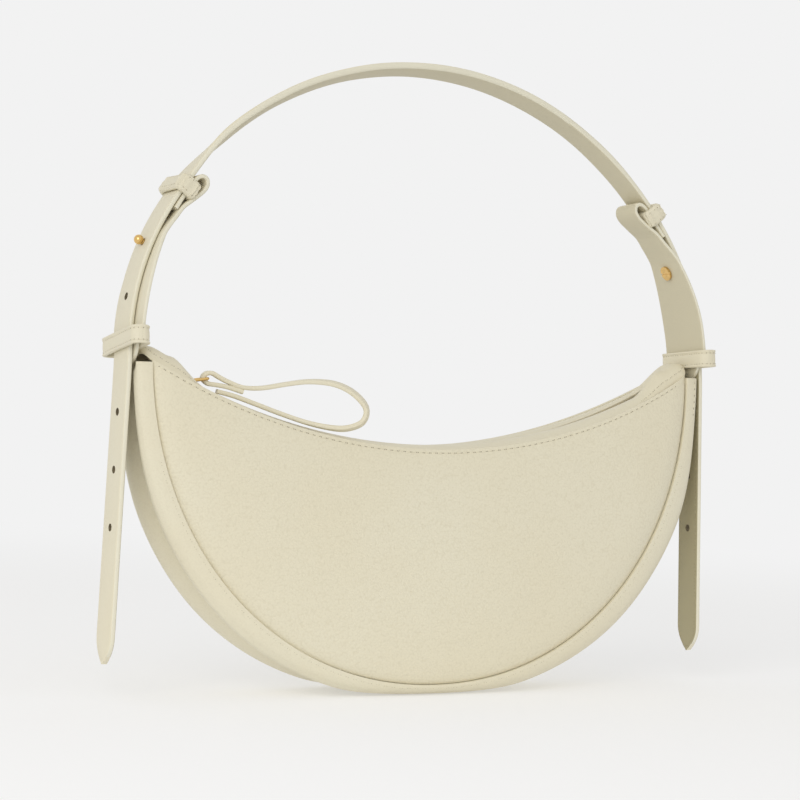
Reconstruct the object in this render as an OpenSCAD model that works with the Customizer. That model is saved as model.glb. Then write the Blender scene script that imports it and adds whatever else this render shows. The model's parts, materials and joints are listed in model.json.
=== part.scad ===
// Half moon shoulder bag in grained leather, millimetres, standing on its round base.
// X runs along the bag, -Y is its front and Z is up. The handle leans a little to the back.

/* [Body] */
// Half of the body's length at the mouth, from the middle to a front seam's tip
half_w = 160; // [145:1:175]
// Drop of a panel's seam from the mouth's tips to its lowest point
panel_h = 166; // [145:1:185]
// Dip of the rims between the tips
rim_sag = 43; // [30:1:55]
// Depth of the body over its two seams at the tips
tip_depth = 26; // [23:1:31]
// Depth of the body over its two seams at the base
base_depth = 54; // [45:1:64]
// Depth of the mouth over the two rims at its middle
mouth_depth = 42; // [37:1:48]
// How far a stuffed panel swells out
panel_bulge = 5; // [2:0.5:8]
// Thickness of a panel's leather with its backing
panel_t = 1.8; // [1.2:0.1:2.4]
// Height of the gusset's padded lobes over the seams, at the tips and at the base
lobe_h = 6.3; // [4.5:0.1:8]
// How much higher the lobes swell between the tips and the base
lobe_swell = 3; // [0:0.1:4]
// Thickness of the gusset between its lobes
gusset_t = 2.2; // [1.6:0.1:3]
// Depth of the pinch between the lobes at the tips, below the seams
pinch_depth = 6; // [3:0.5:9]
// Height of the gusset's middle over the seams at the base
belly_h = 5.2; // [3:0.1:6]

/* [Zip] */
// Thickness of the leather zip facing
facing_t = 1.2; // [0.8:0.1:1.8]
// How far the facing lies below the rims
facing_recess = 1; // [0.5:0.1:2.5]
// How far each end of the facing's slot lies inside the mouth's tip
slot_inset = 15; // [12:1:25]
// Width of the slot in the facing
slot_w = 9.4; // [9:0.1:12]
// Width of one zip tape
tape_w = 9.6; // [7:0.1:11]
// Thickness of a zip tape
tape_t = 0.6; // [0.4:0.05:0.8]
// Pitch of one tape's teeth
tooth_pitch = 2.8; // [2.7:0.1:3.4]
// Height of a tooth
tooth_h = 2.4; // [1.8:0.1:2.6]
// Length of a tooth across the zip
tooth_l = 2.7; // [2.4:0.1:3]
// Length of the slider's body
slider_l = 9.6; // [8.5:0.1:11]
// Width of the slider's body
slider_w = 8.4; // [7.9:0.1:8.8]
// Thickness of a slider plate
slider_plate = 1.3; // [1:0.1:1.6]

/* [Zip pull] */
// Length of the pull's metal link, over its wire
link_l = 10.5; // [9.5:0.1:13]
// Diameter of the link's wire
link_wire = 1.5; // [1.2:0.05:1.8]
// Width of the pull's leather strip
pull_w = 6; // [4.5:0.1:7]
// Thickness of the pull's leather strip
pull_t = 2; // [1.4:0.1:2.2]
// Length of the pull's leather loop
pull_l = 87; // [75:1:100]
// Turn of the pull from the zip towards the front, in degrees
pull_turn = 14; // [11:0.5:16]

/* [Handle] */
// Height of the strap's top over the mouth's tips
handle_rise = 159; // [142:1:185]
// Lean of the handle to the back, in degrees
handle_lean = 4.5; // [0:0.5:8]
// Width of the shoulder strap
strap_w = 19; // [16:0.5:20]
// Thickness of the shoulder strap
strap_t = 2.8; // [2:0.1:3.4]
// Length of a tail below the keeper's middle
tail_l = 162; // [140:1:180]
// Length of a tail's pointed end
point_l = 21; // [10:1:24]
// Diameter of the strap's punched holes
hole_d = 4; // [3.6:0.1:4.6]
// Distance from one punched hole to the next
hole_pitch = 29; // [27:0.5:30]

/* [Tabs, keepers and rings] */
// Width of a tab at its keeper
tab_w = 37; // [32:0.5:40]
// Width of a tab's folded eye
eye_w = 19.6; // [17:0.2:20.2]
// Thickness of a tab
tab_t = 2.2; // [1.6:0.1:2.6]
// Length of the folded eye along the strap
eye_l = 28; // [26:0.5:32]
// How far the eye stands in from the strap
eye_reach = 7.8; // [7.4:0.1:9]
// Height of a keeper
keeper_h = 10; // [7:0.5:11]
// Thickness of a keeper's leather
keeper_t = 2; // [1.4:0.1:2.4]
// Height of a keeper's middle over the mouth's tips
keeper_rise = 8; // [7.5:0.5:11]
// Length of a ring along the strap
ring_l = 10; // [7:0.5:11]
// Thickness of a ring's leather
ring_t = 2; // [1.6:0.1:2.2]
// Diameter of a stud's ball
ball_d = 5; // [4.8:0.1:7]
// Diameter of a stud's neck
neck_d = 3.4; // [3:0.05:3.5]
// Diameter of a stud screw's slotted head
screw_d = 8; // [6.5:0.1:9]
// Distance along the strap from a keeper's middle up to the middle of the folded eye
eye_rise = 84; // [78:0.5:90]
// Distance from a folded eye's middle down to its stud
stud_drop = 32.5; // [30:0.5:38]

/* [Hidden] */

leather_colour = [0.87, 0.84, 0.73];
edge_colour = [0.80, 0.77, 0.64];
lining_colour = [0.78, 0.72, 0.60];
tape_colour = [0.85, 0.82, 0.72];
gold_colour = [0.80, 0.62, 0.30];

$fn = 64;
// Gap between pieces that lie against each other
gap = 0.3;
// Overrun of every cut past the solid that it cuts
over = 1;
// Largest length that any cut or blank has to reach
reach = 3 * (half_w + panel_h + handle_rise);

// Depth of the small flats that the lobes stand on
foot_cut = 0.8;
tip_z = panel_h + lobe_h - foot_cut;
// Fullness of the seam's curve: 1 is an ellipse, less is fuller
seam_power_share = 0.96;
// Where a lobe's ridge lies, from the seam to the middle of the gusset
ridge_share = 0.36;
// Turn along the seam at which the gusset and the panels begin, in degrees
seam_start = 0.55;
panel_start = 1.2;
seam_steps = 56;
panel_steps = 44;
panel_rows = 8;

// The rims and the zip follow one arc, whose centre is high over the mouth
rim_r = (half_w * half_w + rim_sag * rim_sag) / (2 * rim_sag);
arc_z = tip_z - rim_sag + rim_r;
mouth_power_share = 3.3;

function pow_sign(v, p) = sign(v) * pow(abs(v), p);
function seam_x(t) = half_w * pow_sign(cos(t), seam_power_share);
function seam_z(t) = tip_z - panel_h * pow(sin(t), seam_power_share);
function unit(v) = v / norm(v);
// Outward normal of the seam, in X and Z
function seam_n(t) = unit([seam_x(t) / (half_w * half_w), (seam_z(t) - tip_z) / (panel_h * panel_h)]);
function half_depth(t) = (tip_depth + (base_depth - tip_depth) * sin(t)) / 2;
function rim_z(x) = arc_z - sqrt(rim_r * rim_r - x * x);
function mouth_half(x) =
    (mouth_depth - (mouth_depth - tip_depth) * pow(min(abs(x) / half_w, 1), mouth_power_share)) / 2;
// Turn along the seam that lies below a place on the rim
function seam_turn(x) = acos(pow(min(abs(x) / half_w, 1), 1 / seam_power_share));
// Depth of a panel's outer face from the middle, at a share of the way from rim to seam
function face_depth(x, s, t) =
    (1 - s) * mouth_half(x) + s * half_depth(t) + panel_bulge * 4 * s * (1 - s) * sin(t);
function face_y(x, s) = face_depth(x, s, seam_turn(x));

// A closed solid through flat rings of points that all have as many points. The second half
// of a ring runs back beside its first, so a row of strips closes each end.
module loft(rings) {
    n = len(rings[0]);
    last = (len(rings) - 1) * n;
    start_cap = [for (j = [0:n / 2 - 2]) [n - 1 - j, n - 2 - j, j + 1, j]];
    end_cap = [for (j = [0:n / 2 - 2]) [last + j, last + j + 1, last + n - 2 - j, last + n - 1 - j]];
    polyhedron(
        points = [for (ring = rings) for (p = ring) p],
        faces = concat(start_cap, end_cap,
            [for (i = [0:len(rings) - 2]) for (j = [0:n - 1]) for (half = [0, 1])
                let (a = i * n + j, b = i * n + (j + 1) % n)
                half == 0 ? [a, b + n, a + n] : [a, b, b + n]]));
}

// Points that keep a distance to both sides of a line of points, as one closed outline
function line_n(p, i) =
    let (a = p[max(i - 1, 0)], b = p[min(i + 1, len(p) - 1)], d = unit(b - a)) [-d[1], d[0]];
function ribbon(p, half_t) = concat(
    [for (i = [0:len(p) - 1]) p[i] + half_t * line_n(p, i)],
    [for (i = [len(p) - 1:-1:0]) p[i] - half_t * line_n(p, i)]);
// A smooth curve through points, by cubic pieces
function curve_at(a, b, c, d, u) =
    (2 * b + (c - a) * u + (2 * a - 5 * b + 4 * c - d) * u * u
    + (3 * b - a - 3 * c + d) * u * u * u) / 2;
function curve(p, steps) = concat(
    [for (i = [0:len(p) - 2]) for (k = [0:steps - 1])
        curve_at(p[max(i - 1, 0)], p[i], p[i + 1], p[min(i + 2, len(p) - 1)], k / steps)],
    [p[len(p) - 1]]);

// An XZ outline given a width along Y
module across(w) {
    rotate([90, 0, 0]) linear_extrude(height = w, center = true) children();
}

// A plate with round corners, and a loop of it
module round_plate(x, y, r) {
    square([x - 2 * r, y], center = true);
    square([x, y - 2 * r], center = true);
    for (i = [-1, 1]) for (j = [-1, 1]) translate([i * (x / 2 - r), j * (y / 2 - r)]) circle(r);
}
module band_loop(x, y, t, h) {
    corner = min(x, y) / 2;
    linear_extrude(height = h, center = true) difference() {
        round_plate(x + 2 * t, y + 2 * t, min(corner, t + t));
        round_plate(x, y, min(corner, t) / 4);
    }
}

// Panels: a half moon that swells between its dipped rim and its seam, where its edge lies
// inside the gusset's inner face
edge_gap = 2 * gap;
function panel_ring(t, inset) =
    let (n = seam_n(t), x = seam_x(t) - edge_gap * n[0], zs = seam_z(t) - edge_gap * n[1],
        zr = rim_z(x))
    concat(
        [for (k = [0:panel_rows]) let (s = k / panel_rows)
            [x, -face_depth(x, s, t), zr + (zs - zr) * s]],
        [for (k = [panel_rows:-1:0]) let (s = k / panel_rows)
            [x, inset - face_depth(x, s, t), zr + (zs - zr) * s]]);
module panel() {
    loft([for (i = [0:panel_steps])
        panel_ring(panel_start + (180 - 2 * panel_start) * i / panel_steps, panel_t)]);
}
module front_panel() {
    color(leather_colour) panel();
}
module back_panel() {
    color(leather_colour) mirror([0, 1, 0]) panel();
}

// Gusset: two padded lobes beside the seams, with a pinch between them that is deep at
// the tips and fades towards the base. The lobes' ridges are cut to small flats at z = 0.
function valley(t) = -pinch_depth + (pinch_depth + belly_h) * pow(sin(t), 0.7);
lobe_shares = [0, 0.02, 0.06, 0.13, 0.23, 0.36, 0.5, 0.64, 0.78, 0.9, 1];
function lobe_top(t) = lobe_h + lobe_swell * pow(abs(sin(2 * t)), 1.2);
function lobe(u, t) = u < ridge_share
    ? lobe_top(t) * pow(sin(90 * u / ridge_share), 0.6)
    : valley(t) + (lobe_top(t) - valley(t)) * (1 + cos(180 * (u - ridge_share) / (1 - ridge_share))) / 2;
// Under the zip facing's tongues the gusset's ends stay below the facing
function facing_under(x) = arc_z - sqrt(pow(rim_r + facing_recess + facing_t, 2) - x * x);
function cover_z(x, y) = abs(y) < facing_half(x) + 3 * gap ? facing_under(x) - gap : reach;
function gusset_point(t, y, r) =
    let (n = seam_n(t), x = seam_x(t) + r * n[0])
    [x, y, min(max(seam_z(t) + r * n[1], 0), cover_z(x, y))];
// Inner face: it keeps clear of the panel's edge as far in as the panel is thick
function lobe_in(u, t) =
    (u * half_depth(t) < panel_t + 2 * gap ? 0 : min(0, lobe(u, t) - gusset_t)) - gap;
function gusset_ring(t) =
    let (d = half_depth(t), m = len(lobe_shares) - 1)
    concat(
        [for (k = [0:m]) gusset_point(t, -d * (1 - lobe_shares[k]), lobe(lobe_shares[k], t))],
        [for (k = [m - 1:-1:0]) gusset_point(t, d * (1 - lobe_shares[k]), lobe(lobe_shares[k], t))],
        [for (k = [1:m]) gusset_point(t, d * (1 - lobe_shares[k]) - gap, lobe_in(lobe_shares[k], t))],
        [for (k = [m - 1:-1:1])
            gusset_point(t, gap - d * (1 - lobe_shares[k]), lobe_in(lobe_shares[k], t))]);
module gusset() {
    color(edge_colour) loft([for (i = [0:seam_steps])
        gusset_ring(seam_start + (180 - 2 * seam_start) * i / seam_steps)]);
}

// Lining: a thin open pouch inside the panels and the gusset
lining_t = 0.8;
lining_gap = 0.5;
lining_drop = facing_recess + facing_t + tape_t + 2 * gap;
lining_w = half_w - pinch_depth - gusset_t - 2 * lining_gap;
lining_h = panel_h - 2 * lining_gap;
lining_start = 9;
lining_steps = 36;
lining_rows = 6;
function lining_wall(x, z, inset) =
    let (zr = rim_z(x), s = (zr - z) / (zr - seam_z(seam_turn(x))))
    face_y(x, s) - panel_t - lining_gap - inset;
function lining_side(x, top, foot, inset, side) =
    [for (k = [0:lining_rows]) let (z = top + (foot - top) * k / lining_rows)
        [x, side * lining_wall(x, z, inset), z]];
function flip(p) = [for (i = [len(p) - 1:-1:0]) p[i]];
function lining_ring(t) =
    let (
        x = lining_w * pow_sign(cos(t), seam_power_share),
        top = rim_z(x) - lining_drop,
        foot = tip_z - lining_h * pow(sin(t), seam_power_share) + lining_gap,
        floor_in = foot - lining_t / seam_n(t)[1])
    concat(
        lining_side(x, top, foot, 0, -1),
        flip(lining_side(x, top, foot, 0, 1)),
        lining_side(x, top, floor_in, lining_t, 1),
        flip(lining_side(x, top, floor_in, lining_t, -1)));
module lining() {
    color(lining_colour) loft([for (i = [0:lining_steps])
        lining_ring(lining_start + (180 - 2 * lining_start) * i / lining_steps)]);
}

// Zip: facing, tapes and teeth lie on arcs about the rims' centre
facing_r = rim_r + facing_recess;
tape_r = facing_r + facing_t + gap;
slot_x = half_w - slot_inset;
zip_r = tape_r + tape_t / 2;
tooth_half_w = tooth_l - 0.5;
tape_in = tooth_half_w + gap;
slider_x = slot_x - 9;
slider_turn = asin(slider_x / zip_r);
travel_end_turn = asin((slot_x - 11) / zip_r);

// Part of a flat ring about the rims' centre, between two places along X
module arc_band(r, t, x0, x1) {
    intersection() {
        translate([0, arc_z]) difference() {
            circle(r + t, $fn = 360);
            circle(r, $fn = 360);
        }
        translate([x0, arc_z - 2 * r]) square([x1 - x0, 2 * r]);
    }
}
// What lies at the lowest point of the arc, carried round it
module round_arc(turn) {
    translate([0, 0, arc_z]) rotate([0, turn, 0]) translate([0, 0, -zip_r]) children();
}

// Facing: one strip that fills the mouth, with a slot for the zip and a round tongue at
// each end over the gusset's end
tongue_over = 1.5;
tongue_l = 13;
facing_steps = 24;
facing_end = half_w + tongue_over;
function facing_half(x) =
    let (u = max(0, (abs(x) - facing_end + tongue_l) / tongue_l))
    (mouth_half(x) - panel_t - gap) * sqrt(max(0, 1 - u * u));
function facing_x(i) = facing_end * sin(90 * i / facing_steps);
module facing_plan() {
    difference() {
        polygon(concat(
            [for (i = [1 - facing_steps:facing_steps - 1]) [facing_x(i), -facing_half(facing_x(i))]],
            [[facing_end, 0]],
            [for (i = [facing_steps - 1:-1:1 - facing_steps]) [facing_x(i), facing_half(facing_x(i))]],
            [[-facing_end, 0]]));
        round_plate(2 * slot_x, slot_w, slot_w / 2 - gap);
    }
}
module zip_facing() {
    color(leather_colour) intersection() {
        across(2 * mouth_depth) arc_band(facing_r, facing_t, -facing_end - over, facing_end + over);
        linear_extrude(height = tip_z + rim_r) facing_plan();
    }
}
module zip_tape() {
    translate([0, -tape_in - tape_w / 2, 0]) across(tape_w) arc_band(tape_r, tape_t, -slot_x, slot_x);
}
module zip_tape_front() {
    color(tape_colour) zip_tape();
}
module zip_tape_back() {
    color(tape_colour) mirror([0, 1, 0]) zip_tape();
}

// Teeth: the two rows stand half a pitch apart and mesh past the middle
tooth_t = tooth_pitch / 2 - gap;
tooth_turn = 360 * tooth_pitch / (2 * PI * zip_r);
first_turn = slider_turn + 360 * 0.6 / (2 * PI * zip_r);
tooth_count = floor((first_turn + travel_end_turn + 0.6) / tooth_turn);
module tooth_row(side, shift) {
    for (i = [0:tooth_count - 1]) round_arc(first_turn - (i + shift) * tooth_turn)
        translate([0, side * (tooth_half_w - tooth_l / 2), 0])
            cube([tooth_t, tooth_l, tooth_h], center = true);
}
module zip_teeth_front() {
    color(gold_colour) tooth_row(-1, 0);
}
module zip_teeth_back() {
    color(gold_colour) tooth_row(1, 0.5);
}
stop_l = 2;
module zip_stop(w) {
    cube([stop_l, w, tooth_h], center = true);
}
module zip_stops() {
    left_turn = slider_turn + 360 * (slider_l / 2 + gap + stop_l / 2) / (2 * PI * zip_r);
    right_turn = first_turn - (tooth_count + 0.5) * tooth_turn
        - 360 * (gap + stop_l / 2) / (2 * PI * zip_r);
    color(gold_colour) {
        for (side = [-1, 1]) round_arc(left_turn)
            translate([0, side * (tape_in - gap - stop_l / 2), 0]) zip_stop(stop_l);
        round_arc(right_turn) zip_stop(2 * tooth_half_w);
    }
}

// Slider: two plates joined by a wedge at the open end, side lips that leave a way for
// the tapes, and a bail on top that carries the link
channel_h = tooth_h + 2 * gap;
lip_t = 0.7;
lip_way = tape_t + 2 * gap;
bail_w = 2.4;
bail_l = 5.4;
bail_h = 4;
link_play = 0.05;
link_at_z = channel_h / 2 + slider_plate + bail_h / 2 + gap;
link_pos = [
    link_at_z * sin(slider_turn) - zip_r * sin(slider_turn),
    0,
    arc_z - zip_r * cos(slider_turn) + link_at_z * cos(slider_turn)];
module slider_outline() {
    wide = slider_w;
    tail = slider_w - 2 * lip_t;
    polygon([
        [-slider_l / 2, -wide * 0.34], [-slider_l * 0.4, -wide / 2], [0, -wide / 2],
        [slider_l / 2, -tail / 2], [slider_l / 2, tail / 2], [0, wide / 2],
        [-slider_l * 0.4, wide / 2], [-slider_l / 2, wide * 0.34]]);
}
module slider_body() {
    full_h = channel_h + 2 * slider_plate;
    difference() {
        linear_extrude(height = full_h, center = true) slider_outline();
        cube([2 * slider_l, slider_w - 2 * lip_t - 2 * lip_t, channel_h], center = true);
        cube([2 * slider_l, 2 * slider_w, lip_way], center = true);
    }
    translate([-slider_l / 2 + 1.3, 0, 0]) cube([1.4, 1.8, channel_h + 2 * link_play], center = true);
    translate([0, 0, full_h / 2 + bail_h / 2 - link_play]) across(bail_w) union() {
        translate([0, -bail_h / 4]) square([bail_l, bail_h / 2], center = true);
        circle(bail_h / 2);
    }
}
module zip_slider() {
    color(gold_colour) difference() {
        round_arc(slider_turn) slider_body();
        translate(link_pos) rotate([90, 0, -pull_turn])
            cylinder(h = 2 * bail_w, r = link_wire / 2 + link_play, center = true);
    }
}

// Link: a wire frame with round corners through the slider's bail and the loop's eye
link_tilt = 10;
link_bar = link_l - link_wire;
link_span = pull_w + 2 * gap + link_wire + 0.6;
bend_r = link_wire * 0.9;
module wire(l) {
    rotate([90, 0, 0]) cylinder(h = l, r = link_wire / 2, center = true);
}
module wire_bend(turn) {
    rotate([0, 0, turn]) translate([-bend_r, -bend_r, 0])
        rotate_extrude(angle = 90) translate([bend_r, 0]) circle(link_wire / 2);
}
module link_frame() {
    straight = link_span - 2 * bend_r;
    run = link_bar - 2 * bend_r;
    wire(straight);
    translate([link_bar, 0, 0]) wire(straight);
    for (side = [-1, 1]) translate([link_bar / 2, side * link_span / 2, 0])
        rotate([0, 0, 90]) wire(run);
    translate([link_bar, link_span / 2, 0]) wire_bend(0);
    translate([0, link_span / 2, 0]) wire_bend(90);
    translate([0, -link_span / 2, 0]) wire_bend(180);
    translate([link_bar, -link_span / 2, 0]) wire_bend(270);
}
module pull_link() {
    color(gold_colour) translate(link_pos) rotate([0, 0, -pull_turn]) rotate([0, -link_tilt, 0])
        link_frame();
}

// Loop: a strip that goes through the link, out along the rim and back, with its two ends
// lapped behind the link. The shares are of the loop's length, along and up from the eye.
pull_shares = [
    [0.215, -0.073], [0.130, -0.048], [0.055, -0.036], [0.005, -0.029], [-0.024, 0.000],
    [-0.006, 0.027], [0.030, 0.031], [0.070, 0.010], [0.130, -0.018], [0.215, -0.046],
    [0.330, -0.046], [0.470, -0.020], [0.610, 0.000], [0.760, -0.008], [0.880, -0.058],
    [0.962, -0.145], [0.945, -0.228], [0.855, -0.268], [0.750, -0.268], [0.600, -0.240],
    [0.430, -0.188], [0.270, -0.133], [0.160, -0.097], [0.060, -0.074]];
pull_steps = 3;
eye_pos = [link_bar * cos(link_tilt), 0, link_bar * sin(link_tilt)];
module pull_loop() {
    color(leather_colour) translate(link_pos) rotate([0, 0, -pull_turn]) translate(eye_pos)
        across(pull_w) polygon(ribbon(curve(pull_l * pull_shares, pull_steps), pull_t / 2));
}

// Handle: the strap's middle line is a wide arc over the bag, a bend below the ring and a
// long arc down to the keeper, where it turns into a straight tail. The wide and the long
// arc are as large as they have to be to reach both the top and the keeper.
top_turn = 57.9;
bend_turn = 71;
end_turn = 88.2;
bend_arc_r = 138;
strap_in = strap_t / 2 + gap + tab_t / 2;
keeper_x = half_w + lobe_h + gap + tab_t + gap + strap_t / 2;
hinge_z = tip_z + keeper_rise;
strap_top_z = tip_z + handle_rise - strap_t / 2;
span_x = keeper_x - bend_arc_r * (sin(bend_turn) - sin(top_turn));
span_z = strap_top_z - hinge_z - bend_arc_r * (cos(top_turn) - cos(bend_turn));
arc_det = sin(top_turn) * (cos(bend_turn) - cos(end_turn))
    - (1 - cos(top_turn)) * (sin(end_turn) - sin(bend_turn));
top_r = (span_x * (cos(bend_turn) - cos(end_turn)) - span_z * (sin(end_turn) - sin(bend_turn)))
    / arc_det;
long_r = (span_z * sin(top_turn) - span_x * (1 - cos(top_turn))) / arc_det;
function arc_l(r, a) = 2 * PI * r * a / 360;
s_bend = arc_l(top_r, top_turn);
s_long = s_bend + arc_l(bend_arc_r, bend_turn - top_turn);
s_keeper = s_long + arc_l(long_r, end_turn - bend_turn);
s_ring = s_keeper - eye_rise;
s_stud = s_ring + stud_drop;
// Slope of the strap below the level, at a length from its top
function slope(s) =
    s < s_bend ? top_turn * s / s_bend
    : s < s_long ? top_turn + (bend_turn - top_turn) * (s - s_bend) / (s_long - s_bend)
    : s < s_keeper ? bend_turn + (end_turn - bend_turn) * (s - s_long) / (s_keeper - s_long)
    : end_turn;
function turn_step(r, a, b) = r * [sin(b) - sin(a), cos(b) - cos(a)];
function strap_at(s) =
    [0, strap_top_z]
    + turn_step(top_r, 0, slope(min(s, s_bend)))
    + (s > s_bend ? turn_step(bend_arc_r, top_turn, slope(min(s, s_long))) : [0, 0])
    + (s > s_long ? turn_step(long_r, bend_turn, slope(min(s, s_keeper))) : [0, 0])
    + (s > s_keeper ? (s - s_keeper) * [cos(end_turn), -sin(end_turn)] : [0, 0]);
// A place beside the strap: up from a length s, and in from its middle line
function beside(s, up, inward) =
    let (a = slope(s - up)) strap_at(s - up) - inward * [sin(a), cos(a)];

// A piece of the handle, leaned back about the keepers' middles
module leaned() {
    translate([0, 0, hinge_z]) rotate([-handle_lean, 0, 0]) translate([0, 0, -hinge_z]) children();
}
// What is built about the origin, carried to a length along the strap: X outward, Z up it
module on_strap(s) {
    translate([strap_at(s)[0], 0, strap_at(s)[1]]) rotate([0, slope(s) - 90, 0]) children();
}
module left() {
    mirror([1, 0, 0]) children();
}

hinge_drop = 12.5;
s_tail = s_keeper + hinge_drop;
s_strap_end = s_tail - strap_t / 2 - gap;
top_steps = 14;
arm_steps = 13;
// Lengths along one half of the strap at which its line has a point, from the top down
strap_line = concat(
    [for (i = [0:top_steps]) s_ring * i / top_steps],
    [for (i = [1:arm_steps]) s_ring + (s_keeper - s_ring) * i / arm_steps],
    [s_strap_end]);
function mirror_x(p) = [-p[0], p[1]];
function strap_edge(off) = [for (s = strap_line) beside(s, 0, off)];
module punch(s) {
    on_strap(s) rotate([0, 90, 0]) cylinder(h = 4 * strap_t, d = hole_d, center = true);
}
module shoulder_strap() {
    outer = strap_edge(-strap_t / 2);
    inner = strap_edge(strap_t / 2);
    color(leather_colour) leaned() difference() {
        across(strap_w) polygon(concat(
            [for (i = [len(outer) - 1:-1:1]) mirror_x(outer[i])],
            outer,
            [for (i = [len(inner) - 1:-1:1]) inner[i]],
            [for (p = inner) mirror_x(p)]));
        for (k = [0:2]) {
            punch(s_stud + k * hole_pitch);
            left() punch(s_stud + k * hole_pitch);
        }
    }
}

// Tails: the strap's ends hang straight from a bend just below each keeper, punched for
// the stud and cut to a point
tail_pos = let (p = strap_at(s_tail), d = p[1] - hinge_z)
    [p[0], d * sin(handle_lean), hinge_z + d * cos(handle_lean)];
tail_run = tail_l - hinge_drop;
point_steps = 8;
module tail_outline() {
    half = strap_w / 2;
    lean_up = half * tan(handle_lean);
    polygon(concat(
        [[-half, lean_up], [half, -lean_up]],
        [for (i = [0:point_steps]) let (a = 90 * i / point_steps)
            [half * pow(cos(a), 0.8), -tail_run + point_l - point_l * pow(sin(a), 1.4)]],
        [for (i = [point_steps - 1:-1:0]) let (a = 90 * i / point_steps)
            [-half * pow(cos(a), 0.8), -tail_run + point_l - point_l * pow(sin(a), 1.4)]]));
}
module tail() {
    translate(tail_pos) difference() {
        union() {
            rotate([0, end_turn - 90, 0]) rotate([90, 0, 90])
                linear_extrude(height = strap_t, center = true) tail_outline();
            rotate([90 - handle_lean, 0, 0])
                cylinder(h = strap_w, r = strap_t / 2, center = true);
        }
        for (k = [3:5]) rotate([0, end_turn - 90, 0])
            translate([0, 0, -(s_stud + k * hole_pitch - s_tail)])
                rotate([0, 90, 0]) cylinder(h = 4 * strap_t, d = hole_d, center = true);
    }
}
module right_tail() {
    color(leather_colour) tail();
}
module left_tail() {
    color(leather_colour) left() tail();
}

// Tabs: a wide strip stands on the gusset's end inside the strap, narrows upwards and
// folds outward into an eye, whose end comes down again beside the strap. The shares are
// of the eye's length up the strap and of its reach in from the strap.
eye_shares = [
    [-1.36, 0], [-1.18, 0], [-1.0, 0.01], [-0.79, 0.13], [-0.57, 0.28], [-0.43, 0.34],
    [-0.286, 0.43], [-0.107, 0.66],
    [0.07, 0.86], [0.25, 1.0], [0.393, 0.95], [0.482, 0.64], [0.464, 0.27], [0.357, 0.05],
    [0.18, 0], [0, 0], [-0.214, 0], [-0.43, 0]];
foot_reach = 4.2;
tab_foot_r = keeper_rise + foot_reach;
s_tab_foot = s_keeper + tab_foot_r;
tab_steps = 10;
taper_low_share = 0.22;
taper_high_share = 0.95;
function tab_line() = concat(
    [for (i = [0:tab_steps]) let (s = s_tab_foot + 2 * over
            + (s_ring - eye_l * eye_shares[0][0] - s_tab_foot - 2 * over) * i / (tab_steps + 1))
        beside(s, 0, strap_in)],
    [for (p = curve(eye_shares, 3)) beside(s_ring, eye_l * p[0], strap_in + eye_reach * p[1])]);
function tab_half(u) =
    let (v = max(0, min(1, (taper_high_share - u) / (taper_high_share - taper_low_share))),
        w = pow(v, 0.75))
    (eye_w + (tab_w - eye_w) * w * w * (3 - 2 * w)) / 2;
taper_steps = 16;
module tab_outline() {
    low = hinge_z;
    high = strap_at(s_ring)[1];
    top = high + eye_l;
    foot_half = min(tab_foot_r, tab_w / 2);
    side = [for (i = [0:taper_steps]) [tab_half(i / taper_steps), low + (high - low) * i / taper_steps]];
    polygon(concat(
        [for (p = side) p],
        [[eye_w / 2, top], [-eye_w / 2, top]],
        [for (p = flip(side)) [-p[0], p[1]]],
        [for (i = [0:taper_steps]) let (a = 180 + 180 * i / taper_steps)
            [foot_half * cos(a), low + tab_foot_r * sin(a)]]));
}
module tab() {
    difference() {
        intersection() {
            across(2 * tab_w) polygon(ribbon(tab_line(), tab_t / 2));
            rotate([90, 0, 90]) linear_extrude(height = 2 * reach, center = true) tab_outline();
        }
        on_strap(s_stud) translate([-strap_in, 0, 0]) rotate([0, 90, 0])
            cylinder(h = 2 * tab_t, d = neck_d + 2 * link_play, center = true);
    }
}
module right_tab() {
    color(leather_colour) leaned() tab();
}
module left_tab() {
    color(leather_colour) leaned() left() tab();
}

// Keepers and rings: stitched loops of leather round the tab and the strap
keeper_in_x = strap_t + tab_t + 3 * gap;
module keeper() {
    on_strap(s_keeper) translate([-(tab_t + gap) / 2, 0, 0])
        band_loop(keeper_in_x, tab_w + 3 * gap, keeper_t, keeper_h);
}
module right_keeper() {
    color(leather_colour) leaned() keeper();
}
module left_keeper() {
    color(leather_colour) leaned() left() keeper();
}
ring_up = 2;
module ring() {
    on_strap(s_ring - ring_up) translate([-(tab_t + gap) / 2, 0, 0])
        band_loop(keeper_in_x, max(strap_w, eye_w) + 2 * gap, ring_t, ring_l);
}
module right_ring() {
    color(leather_colour) leaned() ring();
}
module left_ring() {
    color(leather_colour) leaned() left() ring();
}

// Studs: a ball on a neck that goes through the tab and the strap, and a slotted screw
// from the tab's inner face
screw_head_t = 1.2;
slot_cut = 0.9;
shank_d = 2.2;
neck_in = -strap_in - tab_t / 2;
ball_at = strap_t / 2 + gap + ball_d * 0.45;
screw_l = tab_t + strap_t * 0.6;
module stud() {
    on_strap(s_stud) difference() {
        union() {
            translate([neck_in, 0, 0]) rotate([0, 90, 0])
                cylinder(h = ball_at - neck_in, d = neck_d);
            translate([ball_at, 0, 0]) sphere(d = ball_d);
        }
        translate([neck_in - over, 0, 0]) rotate([0, 90, 0])
            cylinder(h = screw_l + gap + over, d = shank_d + 2 * link_play);
    }
}
module screw() {
    on_strap(s_stud) translate([neck_in, 0, 0]) difference() {
        union() {
            translate([-screw_head_t - gap, 0, 0]) rotate([0, 90, 0])
                cylinder(h = screw_head_t, d = screw_d);
            translate([-screw_head_t, 0, 0]) rotate([0, 90, 0])
                cylinder(h = screw_l + screw_head_t, d = shank_d);
        }
        translate([-screw_head_t - gap, 0, 0])
            cube([screw_head_t, 2 * screw_d, slot_cut], center = true);
    }
}
module right_stud() {
    color(gold_colour) leaned() stud();
}
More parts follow.
